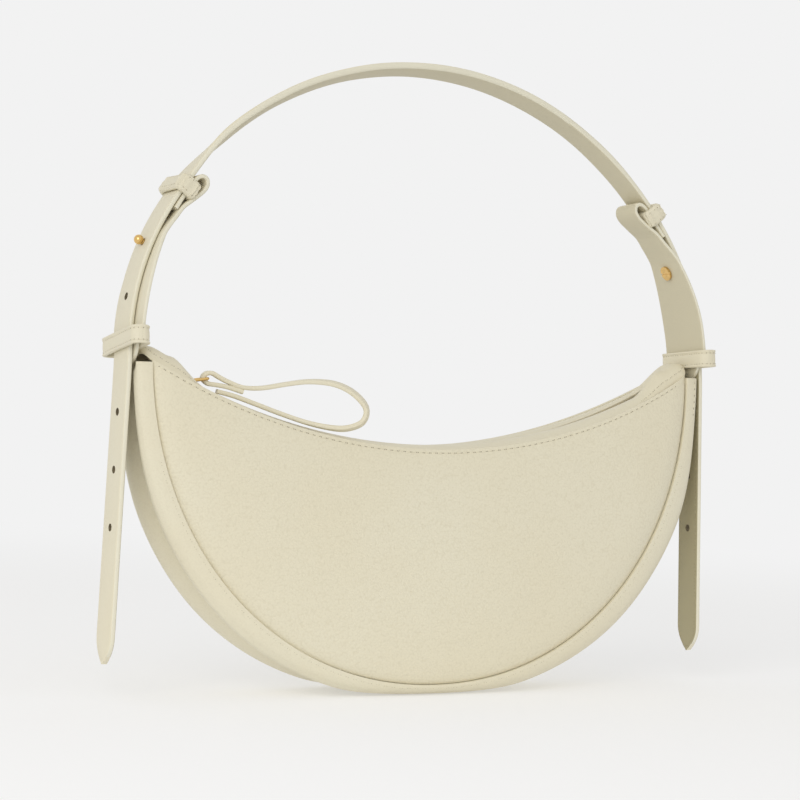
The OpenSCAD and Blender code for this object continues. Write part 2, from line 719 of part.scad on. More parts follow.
module left_stud() {
    color(gold_colour) leaned() left() stud();
}
module right_screw() {
    color(gold_colour) leaned() screw();
}
module left_screw() {
    color(gold_colour) leaned() left() screw();
}

front_panel();
back_panel();
gusset();
lining();
zip_facing();
zip_tape_front();
zip_tape_back();
zip_teeth_front();
zip_teeth_back();
zip_stops();
zip_slider();
pull_link();
pull_loop();
left_tab();
right_tab();
left_ring();
right_ring();
left_stud();
right_stud();
left_screw();
right_screw();
left_keeper();
right_keeper();
shoulder_strap();
left_tail();
right_tail();
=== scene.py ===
# %% [markdown]
# # A half moon shoulder bag in ivory leather
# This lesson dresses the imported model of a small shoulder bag: two half moon panels, a
# padded gusset round them, a zip in a leather facing, and a strap that is held by rings,
# ball studs and keepers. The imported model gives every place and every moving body, so each
# piece is shaped straight at its place, in the model's own coordinates.
# Sizes are written in millimetres and multiplied by MM, because Blender works in metres.

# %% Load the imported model
import json
import math

import bmesh
import bpy
from mathutils import Matrix, Vector


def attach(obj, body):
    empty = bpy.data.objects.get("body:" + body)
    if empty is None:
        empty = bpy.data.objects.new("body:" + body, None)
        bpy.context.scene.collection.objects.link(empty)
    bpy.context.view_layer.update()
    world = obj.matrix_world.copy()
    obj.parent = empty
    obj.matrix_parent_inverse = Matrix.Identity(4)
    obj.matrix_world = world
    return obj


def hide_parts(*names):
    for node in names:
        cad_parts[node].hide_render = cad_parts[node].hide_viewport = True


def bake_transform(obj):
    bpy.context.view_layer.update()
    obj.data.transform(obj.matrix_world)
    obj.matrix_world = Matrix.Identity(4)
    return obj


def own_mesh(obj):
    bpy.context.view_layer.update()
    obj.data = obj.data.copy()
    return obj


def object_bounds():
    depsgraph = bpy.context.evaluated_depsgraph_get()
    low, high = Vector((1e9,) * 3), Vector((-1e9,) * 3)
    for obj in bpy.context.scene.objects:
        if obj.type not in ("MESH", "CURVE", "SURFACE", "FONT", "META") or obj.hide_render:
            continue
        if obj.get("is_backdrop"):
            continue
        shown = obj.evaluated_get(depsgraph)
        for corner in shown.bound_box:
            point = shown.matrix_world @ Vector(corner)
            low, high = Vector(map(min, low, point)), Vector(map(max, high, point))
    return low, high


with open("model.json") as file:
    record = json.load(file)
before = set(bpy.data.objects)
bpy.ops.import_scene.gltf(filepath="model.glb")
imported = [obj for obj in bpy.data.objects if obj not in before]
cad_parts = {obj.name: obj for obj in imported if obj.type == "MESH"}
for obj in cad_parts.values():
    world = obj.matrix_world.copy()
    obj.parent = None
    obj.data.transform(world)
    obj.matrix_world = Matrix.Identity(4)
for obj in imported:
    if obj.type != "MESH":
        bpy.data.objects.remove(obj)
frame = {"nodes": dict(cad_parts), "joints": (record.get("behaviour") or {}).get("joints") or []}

MM = 0.001
cad_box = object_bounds()
joint_places = {joint["name"]: Vector(joint["pos_m"]) / MM for joint in frame["joints"]}
print("joints:", sorted(joint_places))
print("box of the packed model, mm:", [[round(c / MM, 1) for c in corner] for corner in cad_box])

# %% [markdown]
# ## The camera
# The photograph was taken with a long lens from the front left, almost level with the
# mouth of the bag. A camera could be turned by hand until the picture looks right. Here its
# three directions were worked out from pairs of matching parts, such as the two keepers,
# and the camera is built from them, which is exact. A small shift of the lens puts the
# picture's centre where the photograph has it, so nothing has to be turned for it.

# %% Camera
# Film and lens are in millimetres, and the lens shifts are shares of the film's width.
CAMERA_AT = Vector((-725.95, -1328.24, 185.17))
CAMERA_RIGHT = Vector((0.87725, -0.47867, 0.03607))
CAMERA_UP = Vector((-0.02243, 0.03419, 0.99916))
CAMERA_AHEAD = Vector((0.47950, 0.87733, -0.01926))
FILM_WIDE, LENS_LONG = 36, 128.745
SHIFT_X_SHARE, SHIFT_Y_SHARE = -0.026, -0.0055
SIGHT_M = 20

bpy.ops.object.camera_add()
camera = bpy.context.object
camera.name = "photo_camera"
turn = Matrix((CAMERA_RIGHT, CAMERA_UP, -CAMERA_AHEAD)).transposed().to_quaternion().to_matrix()
camera.matrix_world = Matrix.Translation(CAMERA_AT * MM) @ turn.to_4x4()
camera.data.sensor_width = FILM_WIDE
camera.data.lens = LENS_LONG
camera.data.shift_x = SHIFT_X_SHARE
camera.data.shift_y = SHIFT_Y_SHARE
camera.data.clip_end = SIGHT_M
bpy.context.scene.camera = camera
print("camera stands", round((CAMERA_AT * MM).length, 3), "m from the middle of the bag")

# %% [markdown]
# ## Studio
# The bag stands in a pale tent: soft light from all round, a little less from straight
# above, and one large lamp from the front left. The world could simply be made bright
# enough to look white, but that would also wash out the leather. So the rays that are seen,
# mirrored or sent through glass get the pale backdrop, and the rays that light the bag get
# a white of their own. Each can then be set without the other.

# %% Node helpers
def math_node(nodes, links, operation, first, second):
    """A Math node on two values, each a plain number or another node's output."""
    node = nodes.new("ShaderNodeMath")
    node.operation = operation
    for socket, value in zip(node.inputs, (first, second)):
        if isinstance(value, (int, float)):
            socket.default_value = value
        else:
            links.new(value, socket)
    return node.outputs[0]


def remap(nodes, links, source, low, high, out_low, out_high, soft=False):
    """A value stretched from one range to another, on request with a soft start and end."""
    stretch = nodes.new("ShaderNodeMapRange")
    stretch.interpolation_type = "SMOOTHSTEP" if soft else "LINEAR"
    stretch.inputs["From Min"].default_value = low
    stretch.inputs["From Max"].default_value = high
    stretch.inputs["To Min"].default_value = out_low
    stretch.inputs["To Max"].default_value = out_high
    links.new(source, stretch.inputs["Value"])
    return stretch.outputs["Result"]


def seen_ray(nodes, links):
    """1 for rays that the eye, a mirror or glass sends out, and 0 for rays of light."""
    path = nodes.new("ShaderNodeLightPath").outputs
    seen = math_node(nodes, links, "MAXIMUM", path["Is Camera Ray"], path["Is Glossy Ray"])
    return math_node(nodes, links, "MAXIMUM", seen, path["Is Transmission Ray"])


# %% World
# The sky's light changes between two heights of a direction, which is 1 straight above.
BACKDROP = (0.888, 0.888, 0.888, 1)
SKY_TINT = (1.0, 0.995, 0.985, 1)
SKY_SIDE, SKY_TOP = 0.98, 0.6
SKY_LOW, SKY_HIGH = 0.1, 0.95

world = bpy.data.worlds.new("studio")
bpy.context.scene.world = world
world.use_nodes = True
nodes, links = world.node_tree.nodes, world.node_tree.links
nodes.clear()
light_sky = nodes.new("ShaderNodeBackground")
light_sky.inputs["Color"].default_value = SKY_TINT
direction = nodes.new("ShaderNodeTexCoord")
height = nodes.new("ShaderNodeSeparateXYZ")
links.new(direction.outputs["Generated"], height.inputs[0])
dome = remap(nodes, links, height.outputs["Z"], SKY_LOW, SKY_HIGH, SKY_SIDE, SKY_TOP, soft=True)
links.new(dome, light_sky.inputs["Strength"])
seen_sky = nodes.new("ShaderNodeBackground")
seen_sky.inputs["Color"].default_value = BACKDROP
sky = nodes.new("ShaderNodeMixShader")
links.new(seen_ray(nodes, links), sky.inputs[0])
links.new(light_sky.outputs[0], sky.inputs[1])
links.new(seen_sky.outputs[0], sky.inputs[2])
links.new(sky.outputs[0], nodes.new("ShaderNodeOutputWorld").inputs["Surface"])
bpy.context.scene.view_settings.view_transform = "Standard"
print("sky:", SKY_SIDE, "at the sides,", SKY_TOP, "from above, seen as", BACKDROP[0])

# %% Lamp
LAMP_AT = Vector((-1500, -1500, 950))
LAMP_AIM = Vector((0, 0, 120))
LAMP_SIZE = 1400
LAMP_WATTS = 15
LAMP_TINT = (1.0, 0.985, 0.96)

bpy.ops.object.light_add(type="AREA", location=LAMP_AT * MM)
lamp = bpy.context.object
lamp.name = "key_lamp"
lamp.data.size = LAMP_SIZE * MM
lamp.data.energy = LAMP_WATTS
lamp.data.color = LAMP_TINT
lamp.rotation_euler = ((LAMP_AT - LAMP_AIM).to_track_quat("Z", "Y")).to_euler()
print("key lamp:", lamp.data.energy, "W over", round(lamp.data.size, 2), "m")

# %% [markdown]
# ## Floor
# The floor is a sweep of pale paper that fades into the backdrop. It could be a bent sheet
# lit until it is white, but a sheet that bright would light the bag from below. Instead a
# flat floor is matt near the bag, where it takes the contact shadow, with a little glow of
# its own. Farther off the matt part fades out and the seen glow rises to the backdrop's
# tone, which hides the far edge. The light that the floor sends to the bag stays low.

# %% Floor
FLOOR_SIZE_M = 12
FADE_FROM_M, FADE_TO_M = 0.5, 1.2
GLOW_FROM_M, GLOW_TO_M = 0.25, 0.9
FLOOR_MATT = 0.65
FLOOR_SEEN = 0.345
FLOOR_GLOW_NEAR, FLOOR_GLOW_FAR = 0.32, 0.25

bpy.ops.mesh.primitive_plane_add(size=FLOOR_SIZE_M)
floor = bpy.context.object
floor.name = "floor"
paint = bpy.data.materials.new("studio_floor")
paint.use_nodes = True
nodes, links = paint.node_tree.nodes, paint.node_tree.links
nodes.clear()
place = nodes.new("ShaderNodeTexCoord")
distance = nodes.new("ShaderNodeVectorMath")
distance.operation = "LENGTH"
links.new(place.outputs["Object"], distance.inputs[0])
away = distance.outputs["Value"]
sent = remap(nodes, links, away, GLOW_FROM_M, GLOW_TO_M, FLOOR_GLOW_NEAR, FLOOR_GLOW_FAR, soft=True)
seen = remap(nodes, links, away, FADE_FROM_M, FADE_TO_M, FLOOR_SEEN, BACKDROP[0], soft=True)
matt_share = remap(nodes, links, away, FADE_FROM_M, FADE_TO_M, FLOOR_MATT, 0, soft=True)
strength = nodes.new("ShaderNodeMix")
links.new(seen_ray(nodes, links), strength.inputs["Factor"])
links.new(sent, strength.inputs["A"])
links.new(seen, strength.inputs["B"])
glow = nodes.new("ShaderNodeEmission")
links.new(strength.outputs["Result"], glow.inputs["Strength"])
matt = nodes.new("ShaderNodeBsdfDiffuse")
links.new(matt_share, matt.inputs["Color"])
lit_floor = nodes.new("ShaderNodeAddShader")
links.new(glow.outputs[0], lit_floor.inputs[0])
links.new(matt.outputs[0], lit_floor.inputs[1])
links.new(lit_floor.outputs[0], nodes.new("ShaderNodeOutputMaterial").inputs["Surface"])
floor.data.materials.append(paint)
floor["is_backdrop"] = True
print("floor lies at z =", floor.location.z)

# %% [markdown]
# ## Leather
# The leather of this bag is a pale ivory hide with a fine pebbled grain, lightly waxed.
# A grain could be painted from a picture, but a picture shows its tiles and its seams. A
# cell pattern gives pebbles of any size: the distance to a cell's middle makes each pebble
# round, a finer noise breaks it up, and a slow noise lets the tone drift as real hide does.
# The straps are cut from the same hide, pressed smoother, so they share the recipe with a
# shallower grain. Their inner side is bare and a little darker, and painted shade is laid into
# its colour as well. On the tails, which hang in the shade of the bag, the dark inner tone is
# mostly painted shade. Their cut edges have a smooth, lighter coat.

# %% Materials and patterns
def new_paint(name):
    """A new material with its Principled shader, and its nodes and links."""
    material = bpy.data.materials.new(name)
    material.use_nodes = True
    shader = material.node_tree.nodes["Principled BSDF"]
    return material, shader, material.node_tree.nodes, material.node_tree.links


def pattern(nodes, links, kind, scale, **sockets):
    """A texture node on object coordinates, at a number of repeats in a metre."""
    coordinates = nodes.new("ShaderNodeTexCoord")
    texture = nodes.new(kind)
    texture.inputs["Scale"].default_value = scale
    for socket, value in sockets.items():
        texture.inputs[socket].default_value = value
    links.new(coordinates.outputs["Object"], texture.inputs["Vector"])
    return texture


# %% Mixing and bumps
def mix_colours(nodes, links, share, first, second):
    """Two colours mixed by a share, each a plain colour or another node's output."""
    mix = nodes.new("ShaderNodeMix")
    mix.data_type = "RGBA"
    links.new(share, mix.inputs["Factor"])
    for socket, colour in (("A", first), ("B", second)):
        target = [s for s in mix.inputs if s.name == socket and s.type == "RGBA"][0]
        if isinstance(colour, tuple):
            target.default_value = (*colour, 1)
        else:
            links.new(colour, target)
    return [s for s in mix.outputs if s.type == "RGBA"][0]


def add_bump(nodes, links, height, strength, depth, under=None):
    """A bump of a real depth in millimetres, laid over another bump where one is given."""
    bump = nodes.new("ShaderNodeBump")
    bump.inputs["Strength"].default_value = strength
    bump.inputs["Distance"].default_value = depth * MM
    links.new(height, bump.inputs["Height"])
    if under is not None:
        links.new(under, bump.inputs["Normal"])
    return bump.outputs["Normal"]


def darker(colour, share):
    """A colour brought down to a share of its light."""
    return tuple(c * share for c in colour)


# %% Leather recipe
# Repeats in a metre.
FINE_GRAIN, WRINKLES, TONE_DRIFT = 2600, 95, 14


def leather(name, tone, warm, grain_depth, pebble_mm=1.25, rough=(0.46, 0.6)):
    """Pebbled hide: two tones that drift, painted shade in the creases between the pebbles, a soft
    gloss.
    """
    material, shader, nodes, links = new_paint(name)
    cells = pattern(nodes, links, "ShaderNodeTexVoronoi", 1 / (pebble_mm * MM), Randomness=0.9)
    from_middle = cells.outputs["Distance"]
    fine = pattern(nodes, links, "ShaderNodeTexNoise", FINE_GRAIN, Detail=3.0, Roughness=0.6)
    drift = pattern(nodes, links, "ShaderNodeTexNoise", TONE_DRIFT, Detail=2.0)
    wrinkle = pattern(nodes, links, "ShaderNodeTexNoise", WRINKLES, Detail=3.0, Distortion=0.4)

    cloud = remap(nodes, links, drift.outputs[0], 0.3, 0.7, 0, 0.6)
    base = mix_colours(nodes, links, cloud, tone, warm)
    # Painted shade: the colour darkens towards each pebble's edge, where the creases lie, and
    # grain_depth also sets how dark.
    crease_shade = remap(nodes, links, from_middle, 0.45, 0.95, 0, 0.1 + grain_depth)
    colour = mix_colours(nodes, links, crease_shade, base, darker(warm, 0.9))
    links.new(colour, shader.inputs["Base Color"])
    links.new(remap(nodes, links, fine.outputs[0], 0.3, 0.7, *rough), shader.inputs["Roughness"])

    valley = remap(nodes, links, from_middle, 0.25, 0.85, 0, 1)
    pebble = math_node(nodes, links, "SUBTRACT", 1, valley)
    relief = add_bump(nodes, links, fine.outputs[0], 0.2, 0.05)
    relief = add_bump(nodes, links, wrinkle.outputs[0], 0.2, 0.2, relief)
    relief = add_bump(nodes, links, pebble, grain_depth, 0.2, relief)
    links.new(relief, shader.inputs["Normal"])
    shader.inputs["Coat Weight"].default_value = 0.04
    shader.inputs["Coat Roughness"].default_value = 0.4
    shader.inputs["Specular IOR Level"].default_value = 0.35
    return material


# %% The hides
IVORY = (0.752, 0.706, 0.552)
IVORY_WARM = (0.735, 0.672, 0.500)
IVORY_EDGE = (0.770, 0.735, 0.590)
# The inside tones hold painted shade as well as hide: the bare side of strap and tabs is a little
# darker and also shaded, and the tails' inner faces are darkened mostly for the shade of the bag.
INSIDE_HIDE_AND_SHADE_TONE = (0.630, 0.580, 0.425)
TAIL_INSIDE_HIDE_AND_SHADE_TONE = (0.385, 0.345, 0.215)

body_hide = leather("ivory_body_hide", IVORY, IVORY_WARM, grain_depth=0.46)
gusset_hide = leather("ivory_gusset_hide", IVORY, IVORY_WARM, grain_depth=0.24, pebble_mm=1.1)
strap_hide = leather("ivory_strap_hide", IVORY, IVORY_WARM, grain_depth=0.14, pebble_mm=0.9,
                     rough=(0.42, 0.55))
inside_hide_and_shade = leather("ivory_inside_hide_and_shade", INSIDE_HIDE_AND_SHADE_TONE, darker(INSIDE_HIDE_AND_SHADE_TONE, 0.95), grain_depth=0.1,
                     pebble_mm=0.7, rough=(0.55, 0.7))
tail_inside_hide_and_shade = leather("ivory_tail_inside_hide_and_shade", TAIL_INSIDE_HIDE_AND_SHADE_TONE, darker(TAIL_INSIDE_HIDE_AND_SHADE_TONE, 0.95),
                          grain_depth=0.1, pebble_mm=0.7, rough=(0.55, 0.7))
edge_coat = leather("ivory_edge_coat", IVORY_EDGE, darker(IVORY_EDGE, 0.96), grain_depth=0.05,
                    pebble_mm=0.6, rough=(0.35, 0.45))
print("leathers:", [hide.name for hide in (body_hide, gusset_hide, strap_hide, inside_hide_and_shade,
                                           tail_inside_hide_and_shade, edge_coat)])

# %% [markdown]
# ## Thread, cloth and metal
# The thread is spun, so fine ridges run round it. On the tails its tone is darker, which is
# painted shade, because those rows lie on the shaded inner faces. The needle leaves a small
# hole at each end of a stitch, which reads as a dark point: a dark disc of painted shade. The
# zip's tape and the lining are woven, and waves that cross give the threads. The metal is a
# pale polished gold, with faint brushing and small changes in gloss where fingers touch it.
# All of these could be flat colours at this distance, but a closer view would show it.

# %% Thread, holes and gold
# The four patterns are in repeats in a metre.
GOLD = (0.80, 0.53, 0.20)
THREAD_RIDGES, HOLE_SHADE_NOISE, GOLD_SMEARS, GOLD_BRUSHING = 3800, 900, 420, 6000


def spun_thread(name, light, dark):
    """Sewing thread with fine ridges."""
    material, shader, nodes, links = new_paint(name)
    ridges = pattern(nodes, links, "ShaderNodeTexNoise", THREAD_RIDGES, Detail=2.0)
    share = remap(nodes, links, ridges.outputs[0], 0.35, 0.65, 0, 1)
    links.new(mix_colours(nodes, links, share, light, dark), shader.inputs["Base Color"])
    links.new(add_bump(nodes, links, ridges.outputs[0], 0.4, 0.08), shader.inputs["Normal"])
    shader.inputs["Roughness"].default_value = 0.75
    return material


def hole_shade(name, dark, light):
    """Painted shade for the inside of a needle's or a punch's hole, varied by a noise."""
    material, shader, nodes, links = new_paint(name)
    shade_noise = pattern(nodes, links, "ShaderNodeTexNoise", HOLE_SHADE_NOISE)
    share = remap(nodes, links, shade_noise.outputs[0], 0.3, 0.7, 0, 1)
    links.new(mix_colours(nodes, links, share, dark, light), shader.inputs["Base Color"])
    shader.inputs["Roughness"].default_value = 0.85
    return material


def pale_gold():
    """Polished plating with faint brushing."""
    material, shader, nodes, links = new_paint("pale_gold")
    smear = pattern(nodes, links, "ShaderNodeTexNoise", GOLD_SMEARS, Detail=3.0)
    gloss = remap(nodes, links, smear.outputs[0], 0.3, 0.7, 0.1, 0.22)
    links.new(gloss, shader.inputs["Roughness"])
    share = remap(nodes, links, smear.outputs[0], 0.35, 0.65, 0, 1)
    tone = mix_colours(nodes, links, share, GOLD, darker(GOLD, 0.88))
    links.new(tone, shader.inputs["Base Color"])
    brushing = pattern(nodes, links, "ShaderNodeTexNoise", GOLD_BRUSHING, Detail=1.0)
    links.new(add_bump(nodes, links, brushing.outputs[0], 0.12, 0.02), shader.inputs["Normal"])
    shader.inputs["Metallic"].default_value = 1
    return material


thread = spun_thread("ivory_thread", (0.80, 0.755, 0.60), (0.70, 0.64, 0.47))
# The tail thread is darker as painted shade: its rows lie on the tails' shaded inner faces.
tail_thread_shaded = spun_thread("tail_thread_shaded", (0.44, 0.395, 0.255), (0.36, 0.32, 0.2))
# Both hole colours are painted shade for the insides of the holes.
needle_hole_shade = hole_shade("needle_hole_shade", (0.24, 0.2, 0.125), (0.34, 0.29, 0.19))
punched_hole_shade = hole_shade("punched_hole_shade", (0.14, 0.115, 0.07), (0.22, 0.18, 0.11))
gold = pale_gold()
print("thread, holes and metal:", [paint.name for paint in (thread, tail_thread_shaded, needle_hole_shade,
                                                            punched_hole_shade, gold)])

# %% Woven tape and lining
# A wave is this many metres long at a scale of 1.
WAVE_M = 0.314


def woven(name, light, dark, threads_mm, depth):
    """Crossing threads: knots where the waves along X and Y meet, laid over bands along Z."""
    material, shader, nodes, links = new_paint(name)
    waves = []
    for axis in ("X", "Y", "Z"):
        wave = pattern(nodes, links, "ShaderNodeTexWave", WAVE_M / (threads_mm * MM),
                       Distortion=0.3)
        wave.bands_direction = axis
        waves.append(wave.outputs["Fac"])
    knots = math_node(nodes, links, "MULTIPLY", waves[0], waves[1])
    weave = math_node(nodes, links, "MAXIMUM", knots, waves[2])
    links.new(mix_colours(nodes, links, weave, dark, light), shader.inputs["Base Color"])
    links.new(add_bump(nodes, links, weave, 0.5, depth), shader.inputs["Normal"])
    shader.inputs["Roughness"].default_value = 0.85
    shader.inputs["Sheen Weight"].default_value = 0.15
    return material


zip_cloth = woven("woven_zip_tape", (0.66, 0.60, 0.44), (0.50, 0.44, 0.31), 0.45, 0.12)
lining_cloth = woven("lining_twill", (0.50, 0.41, 0.27), (0.36, 0.29, 0.18), 0.6, 0.15)
print("cloth:", zip_cloth.name, lining_cloth.name)

# %% [markdown]
# ## Hands that shape the pieces
# Two ways of working make almost every soft piece here. A sheet of leather starts as a flat
# grid, whose points are laid on the curve of the bag and which then gets its thickness. A
# strap, a loop or a wire starts as its own cut end: the flat section is extruded from place
# to place along its middle line, as dough comes out of a press. Both leave even faces that
# follow the piece, which a boolean or a remesh wouldn't.

# %% Selecting
def deselect_all():
    """Leaves edit mode and lets go of everything, because an operator acts on all that is held."""
    if bpy.context.object and bpy.context.object.mode != "OBJECT":
        bpy.ops.object.mode_set(mode="OBJECT")
    bpy.ops.object.select_all(action="DESELECT")


def take(*pieces):
    """Selects just these pieces and makes the first one active."""
    deselect_all()
    for piece in pieces:
        piece.select_set(True)
    bpy.context.view_layer.objects.active = pieces[0]


# %% Merging and shading
MERGE_REACH = 0.01


def merge_doubles(piece, reach=MERGE_REACH):
    """Merges points that lie within a reach of each other, in millimetres."""
    take(piece)
    bpy.ops.object.mode_set(mode="EDIT")
    bpy.ops.mesh.select_all(action="SELECT")
    bpy.ops.mesh.remove_doubles(threshold=reach * MM)
    bpy.ops.object.mode_set(mode="OBJECT")


def merge_and_turn_out(piece):
    """Merges doubled points and turns every face outwards."""
    merge_doubles(piece)
    bpy.ops.object.mode_set(mode="EDIT")
    bpy.ops.mesh.select_all(action="SELECT")
    bpy.ops.mesh.normals_make_consistent(inside=False)
    bpy.ops.object.mode_set(mode="OBJECT")


def smooth(piece, degrees=38):
    """Shades a piece smooth, except over edges that are sharper than an angle."""
    take(piece)
    bpy.ops.object.shade_smooth_by_angle(angle=math.radians(degrees))


# %% Modifiers
def apply_modifier(piece, kind, **settings):
    """Adds a modifier, sets it and applies it at once."""
    take(piece)
    modifier = piece.modifiers.new(kind.lower(), kind)
    for name, value in settings.items():
        setattr(modifier, name, value)
    bpy.ops.object.modifier_apply(modifier=modifier.name)


def soften_edges(piece, width, segments=2, degrees=30):
    """Rounds the edges of a piece that are sharper than an angle."""
    apply_modifier(piece, "BEVEL", width=width * MM, segments=segments, limit_method="ANGLE",
                   angle_limit=math.radians(degrees))


# %% Finish and frame
def paint_piece(piece, *materials):
    """Gives a piece these materials, in the order of its faces' numbers."""
    piece.data.materials.clear()
    for material in materials:
        piece.data.materials.append(material)


def dress(piece, body, slot_name, *nodes_replaced):
    """Hangs the piece on the empty of the body it rides on and hides the nodes it stands for.
    slot_name, the finish, is not used.
    """
    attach(piece, body)
    if nodes_replaced:
        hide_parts(*nodes_replaced)
    print(piece.name, "rides on", body, "-", len(piece.data.polygons), "faces")


# %% Formed sheet
def formed_sheet(name, columns, rows, place):
    """A flat grid whose points lie where place(u, v) says, in millimetres. u and v run 0 to 1."""
    deselect_all()
    bpy.ops.mesh.primitive_grid_add(x_subdivisions=columns, y_subdivisions=rows, size=2)
    sheet = bpy.context.object
    sheet.name = sheet.data.name = name
    for point in sheet.data.vertices:
        u = round((point.co.x + 1) / 2 * columns) / columns
        v = round((point.co.y + 1) / 2 * rows) / rows
        point.co = MM * Vector(place(u, v))
    sheet.data.update()
    return sheet


def face_away_from(sheet, spot):
    """Flips an open sheet whose faces look at a place, in millimetres."""
    away = sum(face.normal.dot(face.center - spot * MM) * face.area for face in sheet.data.polygons)
    if away < 0:
        take(sheet)
        bpy.ops.object.mode_set(mode="EDIT")
        bpy.ops.mesh.select_all(action="SELECT")
        bpy.ops.mesh.flip_normals()
        bpy.ops.object.mode_set(mode="OBJECT")


# %% Pressed strip
def pressed_strip(name, outline, frames, closed=False):
    """A flat outline extruded from frame to frame. A frame is a matrix in millimetres: its X
    and Y carry the outline and its Z runs along the strip."""
    deselect_all()
    bpy.ops.mesh.primitive_circle_add(vertices=len(outline), radius=1, fill_type="NGON")
    strip = bpy.context.object
    strip.name = strip.data.name = name
    section = [Vector((x, y, 0)) for x, y in outline]
    for point, corner in zip(strip.data.vertices, section):
        point.co = MM * (frames[0] @ corner)
    bpy.ops.object.mode_set(mode="EDIT")
    bpy.ops.mesh.select_all(action="SELECT")
    corner_of = {i: i for i in range(len(section))}
    for frame_here in frames[1:]:
        bpy.ops.mesh.extrude_region_move()
        shape = bmesh.from_edit_mesh(strip.data)
        shape.verts.index_update()
        moved = {}
        for point in [v for v in shape.verts if v.select]:
            behind = [e.other_vert(point) for e in point.link_edges]
            source = [v for v in behind if not v.select][0]
            corner = corner_of[source.index]
            moved[point.index] = corner
            point.co = MM * (frame_here @ section[corner])
        corner_of = moved
        bmesh.update_edit_mesh(strip.data)
    if closed:
        shape = bmesh.from_edit_mesh(strip.data)
        for face in shape.faces:
            face.select = len(face.verts) == len(section)
        bmesh.update_edit_mesh(strip.data)
        bpy.ops.mesh.delete(type="ONLY_FACE")
    bpy.ops.object.mode_set(mode="OBJECT")
    merge_and_turn_out(strip)
    return strip


# %% Outlines and frames
def round_corners(half_x, half_y, radius, steps):
    """For each corner of a rectangle in turn, the points of its round edge with their outward
    directions. half_x and half_y reach to the middles of the round corners."""
    for quarter, (sx, sy) in enumerate(((1, 1), (-1, 1), (-1, -1), (1, -1))):
        angles = [math.pi / 2 * (quarter + k / steps) for k in range(steps + 1)]
        outs = [Vector((math.cos(angle), math.sin(angle))) for angle in angles]
        yield [(Vector((sx * half_x, sy * half_y)) + radius * out, out) for out in outs]


def round_section(thick, wide, radius, steps=3):
    """A rectangle with round corners, as points in order."""
    corners = round_corners(thick / 2 - radius, wide / 2 - radius, radius, steps)
    return [tuple(point) for corner in corners for point, out in corner]


def axes(x_axis, y_axis, z_axis):
    """A turn whose X, Y and Z go along three directions."""
    return Matrix((x_axis, y_axis, z_axis)).transposed().to_4x4()


def even_steps(first, last, count):
    """Values at even steps from a first to a last one."""
    return [first + (last - first) * i / count for i in range(count + 1)]


# %% [markdown]
# ## The curves of the bag
# The seam where a panel meets the gusset is a little fuller than half an ellipse, and the
# rims follow one wide arc whose centre is high over the mouth. The curves could be read off
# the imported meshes, but short formulas are exact at any place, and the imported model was
# built on the same ones, so the leather fits it.

# %% Sizes of the body
HALF_W, PANEL_H, RIM_SAG = 160, 166, 43
TIP_DEPTH, BASE_DEPTH, MOUTH_DEPTH = 26, 54, 42
TIP_Z = 171.5
SEAM_POWER = 0.96
MOUTH_POWER = 3.3
RIM_R = (HALF_W ** 2 + RIM_SAG ** 2) / (2 * RIM_SAG)
ARC_Z = TIP_Z - RIM_SAG + RIM_R
print("the rims follow an arc of", round(RIM_R, 1), "mm about a height of", round(ARC_Z, 1), "mm")


def part(value, low, high):
    """Where a value lies between two others, from 0 to 1."""
    return max(0.0, min(1.0, (value - low) / (high - low)))


def ease(value, low, high):
    """The same, with a soft start and end."""
    share = part(value, low, high)
    return share * share * (3 - 2 * share)


# %% Seam
def seam_point(turn):
    """X and Z of the seam at a turn from the right tip (0) to the left tip (pi)."""
    c, s = math.cos(turn), max(0.0, math.sin(turn))
    return HALF_W * math.copysign(abs(c) ** SEAM_POWER, c), TIP_Z - PANEL_H * s ** SEAM_POWER


def seam_out(turn):
    """Outward direction of the seam, in X and Z."""
    x, z = seam_point(turn)
    return Vector((x / HALF_W ** 2, (z - TIP_Z) / PANEL_H ** 2)).normalized()


def half_depth(turn):
    """Half of the body's depth at the seam."""
    return (TIP_DEPTH + (BASE_DEPTH - TIP_DEPTH) * max(0.0, math.sin(turn))) / 2


print("lowest point of the seam:", round(seam_point(math.pi / 2)[1], 2), "mm over the floor")

# %% Rims and mouth
def rim_z(x):
    """Height of the rim, which dips in the middle."""
    return ARC_Z - math.sqrt(RIM_R ** 2 - x * x)


def mouth_half(x):
    """Half of the mouth's width."""
    return (MOUTH_DEPTH - (MOUTH_DEPTH - TIP_DEPTH) * min(abs(x) / HALF_W, 1) ** MOUTH_POWER) / 2


def from_seam(x, z):
    """Distance of a point of a panel from the seam, in X and Z."""
    across = (min(abs(x) / HALF_W, 1)) ** (2 / SEAM_POWER)
    down = (max(TIP_Z - z, 0) / PANEL_H) ** (2 / SEAM_POWER)
    return max(0.0, (1 - (across + down) ** (SEAM_POWER / 2)) * (HALF_W + PANEL_H) / 2)


print("the rims dip to", round(rim_z(0), 1), "mm over the floor")

# %% [markdown]
# ## Front and back panel
# Each panel is one half moon of leather over a soft backing. It swells from the dipped rim
# towards the base and rolls into the seam over the last few millimetres. It could be a cut
# flat sheet that a simulation inflates, but the shape wanted is the calm, stuffed shape of
# the photograph, so the grid is laid on it by rule, closer together where it rolls in. The
# thickness comes from Solidify, and a small bevel rounds the cut rim.

# %% The face of a panel
PANEL_T = 1.8
PANEL_BULGE = 5
PANEL_START = math.radians(1.0)
SEAM_INSET = 0.5
ROLL_WIDE, ROLL_DEEP = 13, 2.6
ROLL_ROUND_SHARE = 0.72
PUFF_H = 0.35
PUFF_FROM, PUFF_TO = 8, 40


def puffed(x, z, share):
    """The slow, uneven swell of stuffed leather, at a share of the way down the panel."""
    waves = math.sin(x / 23.0 + 0.6) + math.sin(x / 41.0 + z / 37.0)
    return PUFF_H * math.sin(math.pi * share) * waves * ease(from_seam(x, z), PUFF_FROM, PUFF_TO)


